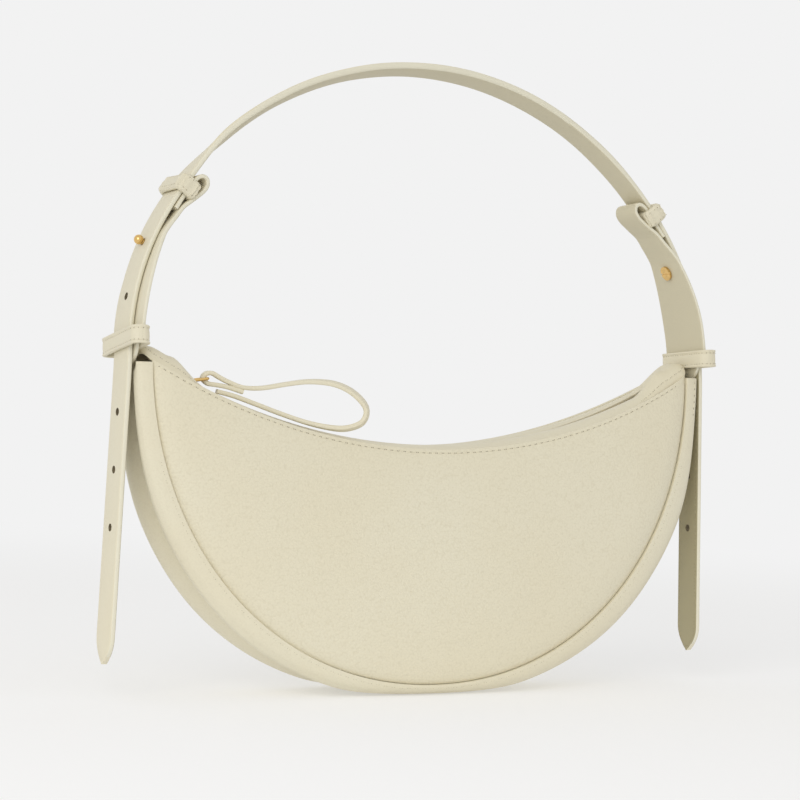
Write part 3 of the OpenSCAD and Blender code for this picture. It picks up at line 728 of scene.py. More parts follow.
def panel_face(u, v):
    """X, depth and Z of a panel's outer face: u along the seam, v from the rim down."""
    turn = PANEL_START + (math.pi - 2 * PANEL_START) * u
    share = 1 - (1 - v) ** 2
    x, seam_low = seam_point(turn)
    out = seam_out(turn)
    x, seam_low = x - SEAM_INSET * out[0], seam_low - SEAM_INSET * out[1]
    top = rim_z(x)
    z = top + (seam_low - top) * share
    depth = ((1 - share) * mouth_half(x) + share * half_depth(turn)
             + PANEL_BULGE * 4 * share * (1 - share) * math.sin(turn))
    inside = 1 - part(from_seam(x, z), 0, ROLL_WIDE)
    roll = (ROLL_ROUND_SHARE * (1 - math.sqrt(max(0.0, 1 - inside * inside)))
            + (1 - ROLL_ROUND_SHARE) * inside ** 2)
    return x, depth - ROLL_DEEP * roll + puffed(x, z, share), z


print("a panel's middle lies", round(panel_face(0.5, 0.3)[1], 1), "mm from the bag's middle plane")

# %% Panels
PANEL_COLUMNS, PANEL_ROWS = 110, 30
BODY_MIDDLE = Vector((0, 0, 90))


def make_panel(name, node, side):
    """A panel on the front (side -1) or the back (side 1)."""
    def place(u, v):
        x, depth, z = panel_face(u, v)
        return x, side * depth, z

    panel = formed_sheet(name, PANEL_COLUMNS, PANEL_ROWS, place)
    face_away_from(panel, BODY_MIDDLE)
    apply_modifier(panel, "SOLIDIFY", thickness=PANEL_T * MM, offset=-1, use_rim=True)
    soften_edges(panel, 0.55, degrees=50)
    smooth(panel, 50)
    paint_piece(panel, body_hide)
    dress(panel, "bag", "grained_leather", node)
    return panel


front_leather = make_panel("front_leather", "front_panel", -1)
back_leather = make_panel("back_leather", "back_panel", 1)

# %% [markdown]
# ## Gusset
# One strip runs from one end of the mouth, round the base, to the other end. Beside each
# seam it lies flat for a few millimetres, then a row of stitches holds it down and it
# swells into a padded lobe, fuller on the way down than at the ends and the base. Between
# the two lobes it is pinched in, deeply at the ends and hardly at all under the base. It
# could be sculpted, but the lobes have to stay clear of the tabs, the swinging tails and
# the floor, so rules shape it. The grid is rolled up: round the section in one direction
# and along the seam in the other, closed at both ends by flat cut faces.

# %% Swell of the lobes
# SWELL and BASE ranges are in degrees, down from the tips and up from the base.
LOBE_H, LOBE_END = 6.3, 8.7
LOBE_FULL_LEFT, LOBE_FULL_RIGHT = 10.8, 13.6
SIDE_CHANGE_SHARE = 0.3
SWELL_FROM, SWELL_TO = 4, 28
BASE_FROM, BASE_TO = 8, 48
KEEPER_RISE = 8
HINGE_Z = TIP_Z + KEEPER_RISE
TAB_FOOT_R = KEEPER_RISE + 4.2
FOOT_GAP, FOOT_FADE = 0.5, 1.6
FLOOR_GAP, FLOOR_ROUND = 0.1, 6
RIDGE_SHARE = 0.3


def soft_least(first, second, reach):
    """The smaller of two values, rounded where they come close to each other."""
    near = max(0.0, 1 - abs(first - second) / reach)
    return min(first, second) - near * near * reach / 4


def ridge_height(turn, away):
    """Height of a lobe's ridge over the seam, for a point that lies away from the middle in Y."""
    x, z = seam_point(turn)
    right = ease(math.cos(turn), -SIDE_CHANGE_SHARE, SIDE_CHANGE_SHARE)
    fullest = LOBE_FULL_LEFT + (LOBE_FULL_RIGHT - LOBE_FULL_LEFT) * right
    down = math.degrees(math.asin(min(1, abs(math.sin(turn)))))
    swell = ease(down, SWELL_FROM, SWELL_TO) * ease(90 - down, BASE_FROM, BASE_TO)
    top = LOBE_END + (fullest - LOBE_END) * swell
    from_foot = math.hypot(away, z - HINGE_Z) - TAB_FOOT_R - FOOT_GAP
    top = LOBE_H + (top - LOBE_H) * ease(from_foot, 0, FOOT_FADE)
    over_floor = (z - FLOOR_GAP) / max(-seam_out(turn)[1], 0.05)
    return soft_least(top, over_floor, FLOOR_ROUND)


print("ridge over the seam at the end, half way down and at the base:",
      [round(ridge_height(math.radians(a), half_depth(math.radians(a)) * (1 - RIDGE_SHARE)), 1)
       for a in (0, 45, 90)])

# %% Pinch and hem
PINCH_DEPTH = 6
BELLY_H = 5.2
HEM_WIDE, HEM_END_SHARE = 4.2, 0.75
HEM_GROOVE, GROOVE_WIDE = 0.4, 0.8


def valley_height(turn):
    """Height of the gusset's middle over the seam: below it at the ends, over it at the base."""
    return -PINCH_DEPTH + (PINCH_DEPTH + BELLY_H) * max(0.0, math.sin(turn)) ** 0.7


def lobe_height(share, turn):
    """Height of the gusset over the seam, at a share of the way from the seam to the middle."""
    top = ridge_height(turn, half_depth(turn) * (1 - share))
    if share < RIDGE_SHARE:
        height = top * math.sin(math.pi / 2 * share / RIDGE_SHARE) ** 0.5
    else:
        low = valley_height(turn)
        inward = (share - RIDGE_SHARE) / (1 - RIDGE_SHARE)
        height = low + (top - low) * math.cos(math.pi / 2 * inward) ** 1.15
    hem = HEM_WIDE * (HEM_END_SHARE + (1 - HEM_END_SHARE) * math.sin(turn))
    from_hem = share * half_depth(turn) - hem
    return height - HEM_GROOVE * math.exp(-(from_hem / GROOVE_WIDE) ** 2)


print("pinch over the seam at the end, half way down and at the base:",
      [round(valley_height(math.radians(a)), 1) for a in (0, 45, 90)])

# %% Places on the gusset
GUSSET_T = 2.2
GUSSET_START = math.radians(0.5)
INNER_EDGE, INNER_GAP = 0.4, 0.3
SECTION_SHARES = (0, 0.006, 0.02, 0.045, 0.08, 0.12, 0.16, 0.2, 0.24, 0.3, 0.36, 0.42, 0.48,
                  0.54, 0.6, 0.66, 0.72, 0.78, 0.84, 0.89, 0.93, 0.97, 1)
SECTION_STEPS = len(SECTION_SHARES) - 1


def gusset_point(turn, y, height):
    """A place at a height over the seam, never below the floor."""
    x, z = seam_point(turn)
    out = seam_out(turn)
    return x + height * out[0], y, max(z + height * out[1], 0)


def gusset_place(u, v):
    """u runs along the seam; v runs over the outside from front to back and home inside."""
    turn = GUSSET_START + (math.pi - 2 * GUSSET_START) * u
    step = round(v * 4 * SECTION_STEPS)
    deep = half_depth(turn)
    outer = step <= 2 * SECTION_STEPS
    k = step if outer else 4 * SECTION_STEPS - step
    share = SECTION_SHARES[min(k, 2 * SECTION_STEPS - k)]
    side = -1 if k <= SECTION_STEPS else 1
    if outer:
        return gusset_point(turn, side * deep * (1 - share), lobe_height(share, turn))
    beside_panel = share * deep < PANEL_T + 1
    low = 0 if beside_panel else min(0, lobe_height(share, turn) - GUSSET_T)
    return gusset_point(turn, side * max(0, deep * (1 - share) - INNER_EDGE), low - INNER_GAP)


print("the gusset's section has", 4 * SECTION_STEPS, "points")

# %% Gusset leather
GUSSET_COLUMNS = 120


def close_ends(piece):
    """Fills each open end of a rolled-up grid with strips between its two sides."""
    take(piece)
    bpy.ops.object.mode_set(mode="EDIT")
    bpy.ops.mesh.select_all(action="DESELECT")
    bpy.ops.mesh.select_mode(type="EDGE")
    bpy.ops.mesh.select_non_manifold(extend=False, use_wire=False, use_boundary=True,
                                     use_multi_face=False, use_non_contiguous=False,
                                     use_verts=False)
    bpy.ops.mesh.fill(use_beauty=True)
    bpy.ops.mesh.select_mode(type="VERT")
    bpy.ops.object.mode_set(mode="OBJECT")


gusset_leather = formed_sheet("gusset_leather", GUSSET_COLUMNS, 4 * SECTION_STEPS, gusset_place)
merge_and_turn_out(gusset_leather)
close_ends(gusset_leather)
merge_and_turn_out(gusset_leather)
soften_edges(gusset_leather, 0.35, degrees=62)
smooth(gusset_leather, 45)
paint_piece(gusset_leather, gusset_hide)
dress(gusset_leather, "bag", "grained_leather", "gusset")

# %% [markdown]
# ## Zip facing
# The facing closes the mouth: a strip of leather with a long slot for the zip. Each half
# is soft and rises like a low pillow between the rim and the slot, and at each end the
# strip becomes a round tongue that arches over the end of the gusset. A slot could be cut
# with a boolean, which leaves long thin faces. So it is laid as two grids, the front half
# and the back half, which meet beyond the slot's ends and are merged into one piece before
# Solidify gives it its thickness.

# %% Outline of the facing
FACING_T = 1.3
FACING_END = HALF_W + 3.5
FACING_GAP = 0.3
TONGUE_L = 9
SLOT_X = 143
SLOT_HALF = 4.7


def between_rims(x):
    """Half of the room between the two panels' inner faces."""
    return mouth_half(x) - PANEL_T - FACING_GAP


def facing_half(x):
    """Half of the facing's width: its ends are round."""
    share = part(abs(x), FACING_END - TONGUE_L, FACING_END)
    return between_rims(x) * math.sqrt(max(0.0, 1 - share ** 4))


def slot_half(x):
    """Half of the slot's width: its ends are round too."""
    share = part(abs(x), SLOT_X - SLOT_HALF, SLOT_X)
    return SLOT_HALF * math.sqrt(max(0.0, 1 - share * share)) if abs(x) < SLOT_X else 0.0


print("slot:", 2 * SLOT_X, "by", 2 * SLOT_HALF, "mm; the tongues end at", FACING_END, "mm")

# %% Height of the facing
FACING_R = RIM_R + 1.0
PILLOW_H, PILLOW_SHARE = 1.9, 0.86
FRONT_LIP, LIP_END = 2.7, 150
TONGUE_RISE, TONGUE_FALL_X = 9, 153
DOME_START, DOME_LENGTH = 133.5, 17
DOME_SKEW, SKEW_SHARE = 12, 0.35


def facing_top(x, y):
    """Height of the facing's outer face: a low pillow, and a dome at each end of the mouth
    that starts nearer to the middle on the front than on the back."""
    full = between_rims(x)
    share = min(1.0, abs(y) / full)
    pillow = PILLOW_H * max(0.0, math.sin(math.pi * min(1.0, (1 - share) / PILLOW_SHARE)))
    lip = FRONT_LIP * (1 - share) ** 1.5 if y < 0 else 0
    lip *= 1 - ease(abs(x), SLOT_X, LIP_END)
    start = DOME_START + DOME_SKEW * max(-SKEW_SHARE, min(SKEW_SHARE, y / full))
    dome = ease(abs(x), start, start + DOME_LENGTH)
    over = 0.3 * share + 0.7 * min(1.0, abs(y) / max(facing_half(x), 0.5))
    arch = max(0.0, 1 - over ** 4)
    fall = math.sqrt(max(0.0, 1 - part(abs(x), TONGUE_FALL_X, FACING_END) ** 2.5))
    low = ARC_Z - math.sqrt(FACING_R ** 2 - x * x)
    return low + pillow * (1 - dome) + lip + dome * TONGUE_RISE * arch * fall


print("facing over the rim, in the middle and on the tongue:",
      [round(facing_top(x, 0) - rim_z(x), 1) for x in (0, TONGUE_FALL_X)])

# %% Facing leather
FACING_COLUMNS, FACING_ROWS = 150, 14
FAR_BELOW = Vector((0, 0, -500))
HALVES_REACH = 0.02


def facing_x(u):
    """Places along X, closer together at the round ends."""
    return FACING_END * math.sin(math.pi / 2 * (2 * u - 1))


def facing_place(side):
    """The rule that lays one half of the facing, on the front (-1) or the back (1)."""
    def place(u, v):
        x = facing_x(u)
        inner, outer = slot_half(x), facing_half(x)
        y = side * (inner + max(0.0, outer - inner) * math.sin(math.pi / 2 * v))
        return x, y, facing_top(x, y)
    return place


front_half = formed_sheet("zip_facing_leather", FACING_COLUMNS, FACING_ROWS, facing_place(-1))
back_half = formed_sheet("zip_facing_back_half", FACING_COLUMNS, FACING_ROWS, facing_place(1))
face_away_from(front_half, FAR_BELOW)
face_away_from(back_half, FAR_BELOW)
take(front_half, back_half)
bpy.ops.object.join()
facing_leather = bpy.context.object
merge_doubles(facing_leather, HALVES_REACH)
apply_modifier(facing_leather, "SOLIDIFY", thickness=FACING_T * MM, offset=-1, use_rim=True)
soften_edges(facing_leather, 0.4, degrees=50)
smooth(facing_leather, 50)
paint_piece(facing_leather, strap_hide)
dress(facing_leather, "bag", "grained_leather", "zip_facing")

# %% [markdown]
# ## Lining, tapes and teeth
# These pieces have the right shape in the imported model already. They could stay as they
# are, but the lining and the zip's cloth are soft and the zip has to open, so each gets a
# merged copy that takes its finish. The zip's two rows of teeth part when the slider
# passes. A row can't follow the slider tooth by tooth.

# %% Copies of imported nodes
NODE_REACH = 0.002


def copy_of_node(node, name):
    """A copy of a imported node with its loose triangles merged."""
    source = frame["nodes"][node]
    piece = bpy.data.objects.new(name, source.data.copy())
    bpy.context.scene.collection.objects.link(piece)
    merge_doubles(piece, NODE_REACH)
    return piece


lining = copy_of_node("lining", "lining_pouch")
smooth(lining, 40)
paint_piece(lining, lining_cloth)
dress(lining, "bag", "lining_cloth", "lining")

for side, where in ((-1, "front"), (1, "back")):
    for kind, finish, slot_name in (("tape", zip_cloth, "zip_tape"), ("teeth", gold, "gold_metal")):
        row = copy_of_node(f"zip_{kind}_{where}", f"zip_{kind}_{where}_row")
        if kind == "teeth":
            soften_edges(row, 0.22, segments=1)
        smooth(row, 35)
        paint_piece(row, finish)
        dress(row, "bag", slot_name, f"zip_{kind}_{where}")
        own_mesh(row)

# %% [markdown]
# ## Metal parts
# The slider, its link, the stops, the ball studs and their slotted screws are turned or
# cast parts. They could be modelled again, but hard parts of plain form are already exact
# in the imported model, so they stay and take the gold.

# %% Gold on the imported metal
METAL_NODES = ("zip_stops", "zip_slider", "pull_link", "left_stud", "right_stud",
               "left_screw", "right_screw")
for node in METAL_NODES:
    paint_piece(frame["nodes"][node], gold)
print("gold nodes:", METAL_NODES)

# %% [markdown]
# ## The handle's line
# From the top the strap falls in a wide arc, bends below the ring and runs down in a
# longer arc to the keeper, where the tail hangs on. The line could be drawn by hand over
# the photograph, but three arcs that meet smoothly are what a stiff strap makes. Two
# equations, one for X and one for Z, give the two large radii from the places of the
# strap's top and the keeper. Everything on the handle is placed by its length along it.

# %% Arcs of the strap
HANDLE_RISE, HANDLE_LEAN = 159, math.radians(4.5)
STRAP_W, STRAP_T = 19, 2.8
TAB_T, GAP = 2.2, 0.3
TOP_TURN, BEND_TURN, END_TURN = (math.radians(a) for a in (57.9, 71, 88.2))
BEND_R = 138
KEEPER_X = HALF_W + LOBE_H + GAP + TAB_T + GAP + STRAP_T / 2
STRAP_TOP_Z = TIP_Z + HANDLE_RISE - STRAP_T / 2

across_top, down_top = math.sin(TOP_TURN), 1 - math.cos(TOP_TURN)
across_long = math.sin(END_TURN) - math.sin(BEND_TURN)
down_long = math.cos(BEND_TURN) - math.cos(END_TURN)
span_x = KEEPER_X - BEND_R * (math.sin(BEND_TURN) - math.sin(TOP_TURN))
span_z = STRAP_TOP_Z - HINGE_Z - BEND_R * (math.cos(TOP_TURN) - math.cos(BEND_TURN))
both = across_top * down_long - down_top * across_long
TOP_R = (span_x * down_long - span_z * across_long) / both
LONG_R = (span_z * across_top - span_x * down_top) / both
S_BEND = TOP_R * TOP_TURN
S_LONG = S_BEND + BEND_R * (BEND_TURN - TOP_TURN)
S_KEEPER = S_LONG + LONG_R * (END_TURN - BEND_TURN)
print("arcs of the strap, mm:", round(TOP_R, 1), BEND_R, round(LONG_R, 1))


# %% Along the strap
def strap_slope(s):
    """Slope of the strap below the level at a length from its top."""
    if s < S_BEND:
        return TOP_TURN * s / S_BEND
    if s < S_LONG:
        return TOP_TURN + (BEND_TURN - TOP_TURN) * (s - S_BEND) / (S_LONG - S_BEND)
    if s < S_KEEPER:
        return BEND_TURN + (END_TURN - BEND_TURN) * (s - S_LONG) / (S_KEEPER - S_LONG)
    return END_TURN


def strap_at(s):
    """X and Z of the strap's middle line on the right side, before it leans."""
    place = Vector((0, STRAP_TOP_Z))
    for radius, start, end, reach in ((TOP_R, 0, TOP_TURN, S_BEND),
                                      (BEND_R, TOP_TURN, BEND_TURN, S_LONG),
                                      (LONG_R, BEND_TURN, END_TURN, S_KEEPER)):
        turn = max(start, min(end, strap_slope(min(s, reach))))
        run = Vector((math.sin(turn) - math.sin(start), math.cos(turn) - math.cos(start)))
        place += radius * run
    if s > S_KEEPER:
        place += (s - S_KEEPER) * Vector((math.cos(END_TURN), -math.sin(END_TURN)))
    return place


print("keeper at", [round(c, 1) for c in strap_at(S_KEEPER)],
      "strap length", round(2 * S_KEEPER, 1))

# %% Frames on the handle
EYE_RISE, STUD_DROP = 84, 32.5
S_RING = S_KEEPER - EYE_RISE
S_STUD = S_RING + STUD_DROP
LEAN = (Matrix.Translation((0, 0, HINGE_Z)) @ Matrix.Rotation(-HANDLE_LEAN, 4, "X")
        @ Matrix.Translation((0, 0, -HINGE_Z)))
ACROSS = Vector((0, 1, 0))
FLIP = Matrix.Scale(-1, 4, (1, 0, 0))


def frame_at(x, z, slope, roll=0.0):
    """A section's frame on the leaned handle: X outwards, Y across, Z down the strap. A roll
    turns its outer face towards the back."""
    out = Vector((math.sin(slope), 0, math.cos(slope)))
    along = Vector((math.cos(slope), 0, -math.sin(slope)))
    turn = axes(out, ACROSS, along)
    return LEAN @ Matrix.Translation((x, 0, z)) @ turn @ Matrix.Rotation(roll, 4, "Z")


def mirrored(piece, name):
    """The same piece for the left side, with its faces turned out again."""
    twin = bpy.data.objects.new(name, piece.data.copy())
    twin.data.name = name
    bpy.context.scene.collection.objects.link(twin)
    twin.data.transform(FLIP)
    merge_and_turn_out(twin)
    return twin


print("ring at", [round(c, 1) for c in strap_at(S_RING)],
      "stud at", [round(c, 1) for c in strap_at(S_STUD)])

# %% [markdown]
# ## Shoulder strap
# One long strap, smooth on the outside, with round, coated edges, a bare inner side and a
# soft twist on its left. It could be a flat band bent by a curve modifier, but that can't
# twist and thicken it where the photograph shows it. So its section is extruded along the
# arch from keeper to keeper. The spare holes for the stud are punched through with a
# boolean, because a hole is cut out of the finished strap on the real bag as well.

# %% Punch
HOLE_D, HOLE_PITCH = 4, 29
PUNCH_L = 12


def side_flip(side):
    """Leaves the right side (1) as it is and mirrors for the left (-1)."""
    return Matrix.Scale(side, 4, (1, 0, 0))


def punch(piece, frames, side):
    """Cuts a round hole through a strap at each frame."""
    for here in frames:
        deselect_all()
        bpy.ops.mesh.primitive_cylinder_add(vertices=28, radius=HOLE_D / 2 * MM, depth=PUNCH_L * MM)
        punch_tool = bpy.context.object
        place = here @ Matrix.Rotation(math.pi / 2, 4, "Y")
        place.translation *= MM
        place = side_flip(side) @ place
        punch_tool.data.transform(place)
        if place.determinant() < 0:
            punch_tool.data.flip_normals()
        apply_modifier(piece, "BOOLEAN", object=punch_tool, operation="DIFFERENCE", solver="EXACT")
        bpy.data.objects.remove(punch_tool)


# %% Coat, bare side and holes
# The hide itself is a strap's material 0.
COAT, INNER, HOLE = 1, 2, 3
HOLE_REACH = 0.15


def coat_edges(piece, across=0.72):
    """Gives the faces that look to a strap's two sides the edge coat."""
    for face in piece.data.polygons:
        face.material_index = COAT if abs(face.normal[1]) > across else 0


def bare_and_shaded_inside(piece, middle, facing=0.25):
    """Gives the uncoated faces that look at a place, in millimetres, the darker inside tone: bare
    hide with painted shade.
    """
    for face in piece.data.polygons:
        inward = face.normal.dot((middle * MM - face.center).normalized())
        if face.material_index == 0 and inward > facing:
            face.material_index = INNER


def darken_holes(piece, frames, side, along=0.6):
    """Gives the walls of punched holes a dark tone: raw leather, darkened further by painted shade.
    """
    for here in frames:
        home = here.inverted()
        axis = here.to_3x3() @ Vector((1, 0, 0))
        for face in piece.data.polygons:
            middle = home @ (side_flip(side) @ (face.center / MM))
            looks = side_flip(side).to_3x3() @ face.normal
            in_hole = math.hypot(middle[1], middle[2]) < HOLE_D / 2 + HOLE_REACH
            if in_hole and abs(looks.dot(axis)) < along:
                face.material_index = HOLE


# %% Shoulder strap
STRAP_SECTION = round_section(STRAP_T, STRAP_W, 1.2, steps=4)
STRAP_STEPS = 66
STRAP_CUT = 0.6
# Each twist: the length from the top, negative on the left, and the degrees there.
TWISTS = ((-160, 0), (-125, 15), (-85, 11), (-40, 7), (0, 5), (60, 4), (110, 0))
THICK_SHARE = 1.3
THICK_TO, THIN_FROM = 120, 150
UNDER_ARCH = Vector((0, 12, 170))


def strap_twist(s):
    """Twist of the arch at a length from its top, which is negative on the left."""
    degrees = 0
    for (low, before), (high, after) in zip(TWISTS, TWISTS[1:]):
        if low <= s <= high:
            degrees = before + (after - before) * ease(s, low, high)
    return math.radians(degrees)


def arch_frame(s):
    """A section's frame on the arch, which is padded and thicker than the strap at the rings."""
    x, z = strap_at(abs(s))
    sign = -1 if s < 0 else 1
    thick = THICK_SHARE + (1 - THICK_SHARE) * ease(abs(s), THICK_TO, THIN_FROM)
    return (frame_at(sign * x, z, sign * strap_slope(abs(s)), strap_twist(s))
            @ Matrix.Scale(thick, 4, (1, 0, 0)))


strap_end = S_KEEPER - STRAP_CUT
strap = pressed_strip("shoulder_strap_leather", STRAP_SECTION,
                      [arch_frame(i / STRAP_STEPS * strap_end)
                       for i in range(-STRAP_STEPS, STRAP_STEPS + 1)])
strap_holes = [frame_at(*strap_at(s), strap_slope(s))
               for s in (S_STUD + k * HOLE_PITCH for k in range(3))]
punch(strap, strap_holes, 1)
punch(strap, strap_holes, -1)
smooth(strap, 40)
paint_piece(strap, strap_hide, edge_coat, inside_hide_and_shade, punched_hole_shade)
coat_edges(strap)
bare_and_shaded_inside(strap, UNDER_ARCH)
darken_holes(strap, strap_holes, 1)
darken_holes(strap, strap_holes, -1)
dress(strap, "handle", "grained_leather", "shoulder_strap")

# %% [markdown]
# ## Tails
# Below each keeper the strap's end hangs free and ends in a point. The leather bends just
# below the keeper. A tail could be one more rigid piece, but then a gap would open at the
# bend. So it is one unbroken piece from inside the keeper down to its tip.

# %% Tail line
TAIL_L, POINT_L, POINT_END = 162, 14, 1.2
TAIL_CUT = 0.4
HINGE_DROP = 12.5
BEND_REACH, BLEND_REACH = 6, 4
TAIL_STEPS = 24


def tail_width(down):
    """Share of the strap's width at a length below the keeper's middle."""
    from_tip = part(TAIL_L - down, 0, POINT_L)
    return max(POINT_END / STRAP_W, math.sin(math.pi / 2 * from_tip ** 0.85))


def tail_lean(down):
    """Lean of the tail at a length below the keeper's middle: it eases out over the bend."""
    return HANDLE_LEAN * (1 - ease(down, HINGE_DROP - BEND_REACH, HINGE_DROP + BEND_REACH))


def tail_frame(down, wide=1.0):
    """A section's frame on the right tail, at a length below the keeper's middle. The places
    are added up in small steps along the bend."""
    x, z = strap_at(S_KEEPER + min(down, 0))
    place = LEAN @ Vector((x, 0, z))
    out = Vector((math.sin(END_TURN), 0, math.cos(END_TURN)))
    along = Vector((math.cos(END_TURN), 0, -math.sin(END_TURN)))
    step = max(down, 0) / TAIL_STEPS
    for k in range(TAIL_STEPS):
        place += step * (Matrix.Rotation(-tail_lean((k + 0.5) * step), 3, "X") @ along)
    return (Matrix.Translation(place) @ Matrix.Rotation(-tail_lean(down), 4, "X")
            @ axes(out, Vector((0, wide, 0)), along))


def bend_point(down, side):
    """A place on a tail's middle line, in metres."""
    x, y, z = tail_frame(down).translation
    return side * x * MM, y * MM, z * MM


print("tails bend about", [round(c / MM, 2) for c in bend_point(HINGE_DROP, 1)], "and its mirror")

# %% Tails
BENT_LENGTHS = [-TAIL_CUT, 1.5, 3.5, 5, 6.5, 8, 9.5, 11, 12.5, 14, 15.5, 17, 18.5, 20]
STRAIGHT_STEPS, POINT_STEPS = 30, 14
INSIDE_BODY = Vector((0, 0, 100))
point_from = TAIL_L - POINT_L
tail_lengths = BENT_LENGTHS + even_steps(BENT_LENGTHS[-1], point_from, STRAIGHT_STEPS)[1:]
tail_lengths += [point_from + POINT_L * math.sin(math.pi / 2 * share)
                 for share in even_steps(0, 1, POINT_STEPS)[1:]]
right_tail = pressed_strip("right_tail_leather", STRAP_SECTION,
                           [tail_frame(down, tail_width(down)) for down in tail_lengths])
tail_holes = [tail_frame(S_STUD + k * HOLE_PITCH - S_KEEPER) for k in range(3, 6)]
punch(right_tail, tail_holes, 1)
left_tail = mirrored(right_tail, "left_tail_leather")
for tail, side, name in ((right_tail, 1, "right"), (left_tail, -1, "left")):
    smooth(tail, 40)
    paint_piece(tail, strap_hide, edge_coat, tail_inside_hide_and_shade, punched_hole_shade)
    coat_edges(tail)
    bare_and_shaded_inside(tail, INSIDE_BODY)
    darken_holes(tail, tail_holes, side)
    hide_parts(f"{name}_tail")
    bend_point(HINGE_DROP - BLEND_REACH, side)
    bend_point(HINGE_DROP + BLEND_REACH, side)
    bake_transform(tail)
    print(tail.name, "-", len(tail.data.polygons), "faces, blended over", 2 * BLEND_REACH, "mm")

# %% [markdown]
# ## Tabs with their folded eyes
# Each tab stands on the gusset's end inside the strap, narrows on its way up and is folded
# outwards into an eye, whose cut end comes down again beside the strap inside the ring. It
# could be cut flat and folded by a simulation, but the fold is one known curve, so the
# strip is extruded along it, with its width changing on the way.

# %% Lines through points
def smooth_line(points, steps):
    """A smooth curve through points."""
    line = []
    last = len(points) - 1
    for i in range(last):
        a, b, c, d = (Vector(points[max(0, min(last, j))]) for j in (i - 1, i, i + 1, i + 2))
        for k in range(steps):
            t = k / steps
            line.append((2 * b + (c - a) * t + (2 * a - 5 * b + 4 * c - d) * t * t
                         + (3 * b - a - 3 * c + d) * t ** 3) / 2)
    return line + [Vector(points[-1])]


def runs_along(line):
    """The direction of a line at each of its points."""
    last = len(line) - 1
    return [(line[min(last, i + 1)] - line[max(0, i - 1)]).normalized() for i in range(last + 1)]


def line_frame(point, along):
    """The place, the outward and the downward direction of a section on a line in X and Z."""
    return (Matrix.Translation((point[0], 0, point[1])),
            Vector((along[1], 0, -along[0])), Vector((-along[0], 0, -along[1])))


# %% Tab line
EYE_W, TAB_W, EYE_L, EYE_REACH = 19.6, 37, 26, 7.0
EYE_SHARES = ((-1.36, 0), (-1.18, 0), (-1.0, 0.01), (-0.79, 0.13), (-0.57, 0.28), (-0.43, 0.34),
              (-0.286, 0.43), (-0.107, 0.66), (0.07, 0.86), (0.25, 1.0), (0.393, 0.95),
              (0.482, 0.64), (0.464, 0.27), (0.357, 0.05), (0.18, 0), (0, 0), (-0.214, 0),
              (-0.43, 0))
STRAP_IN = STRAP_T / 2 + GAP + TAB_T / 2
FOOT_TUCK = 0.6
FOOT_STEPS, EYE_STEPS = 30, 4


def beside(s, up, inward):
    """X and Z beside the strap: up it from a length, and in from its middle line."""
    slope = strap_slope(s - up)
    return strap_at(s - up) - inward * Vector((math.sin(slope), math.cos(slope)))


s_foot = S_KEEPER + TAB_FOOT_R - FOOT_TUCK
s_eye = S_RING - EYE_L * EYE_SHARES[0][0]
tab_line = [beside(s, 0, STRAP_IN) for s in even_steps(s_foot, s_eye, FOOT_STEPS)[:-1]]
tab_line += [beside(S_RING, EYE_L * up, STRAP_IN + EYE_REACH * inward)
             for up, inward in smooth_line(EYE_SHARES, EYE_STEPS)]
tab_length = sum((b - a).length for a, b in zip(tab_line, tab_line[1:]))
print("a tab is", round(tab_length), "mm long with its eye")

# %% Tabs
NARROW_FROM_SHARE, NARROW_TO_SHARE = 0.22, 0.95
FOOT_LEAST = 1.2
TAB_CORNER = 0.8
UNIT_WIDE = 20
ring_z = strap_at(S_RING)[1]


def tab_half(z):
    """Half of a tab's width at a height: a round foot, then narrower up to the eye."""
    if z < HINGE_Z:
        drop = (HINGE_Z - z) / TAB_FOOT_R
        foot = min(TAB_FOOT_R, TAB_W / 2) * math.sqrt(max(0.0, 1 - drop * drop))
        return max(FOOT_LEAST, foot)
    share = (z - HINGE_Z) / (ring_z - HINGE_Z)
    left = part(NARROW_TO_SHARE - share, 0, NARROW_TO_SHARE - NARROW_FROM_SHARE)
    return (EYE_W + (TAB_W - EYE_W) * ease(left ** 0.75, 0, 1)) / 2


tab_frames = []
for point, along in zip(tab_line, runs_along(tab_line)):
    place, out, down = line_frame(point, along)
    tab_frames.append(LEAN @ place @ axes(out, tab_half(point[1]) * ACROSS, down))
tab_section = [(x, y / (UNIT_WIDE / 2)) for x, y in round_section(TAB_T, UNIT_WIDE, TAB_CORNER)]
right_tab = pressed_strip("right_tab_leather", tab_section, tab_frames)
left_tab = mirrored(right_tab, "left_tab_leather")
for tab, name in ((right_tab, "right"), (left_tab, "left")):
    smooth(tab, 42)
    paint_piece(tab, strap_hide, edge_coat, inside_hide_and_shade)
    coat_edges(tab, 0.8)
    bare_and_shaded_inside(tab, UNDER_ARCH)
    dress(tab, "handle", "grained_leather", f"{name}_tab")

# %% [markdown]
# ## Keepers and rings
# A keeper is a wide stitched band that holds tab and strap together at the bag's end. A
# ring is a short, thick one round the strap and the eye, squeezed until it puffs up and
# creases. Each could be a torus pressed flat, but its inside has to follow the stack of
# strap and tab closely. So its section goes once round a rectangle with soft corners, puffs
# on the way, and is merged where it comes home.

# %% Loop maker
def loop_line(inner_x, inner_y, band_t, corner, steps=7, side_steps=6):
    """The middle line of a band round a rectangle: places and outward directions."""
    half_x, half_y = (inner_x + band_t) / 2 - corner, (inner_y + band_t) / 2 - corner
    corners = list(round_corners(half_x, half_y, corner, steps))
    line = []
    for here, following in zip(corners, corners[1:] + corners[:1]):
        line += here
        (start, out), end = here[-1], following[0][0]
        line += [(start.lerp(end, k / side_steps), out) for k in range(1, side_steps)]
    return line + [line[0]]


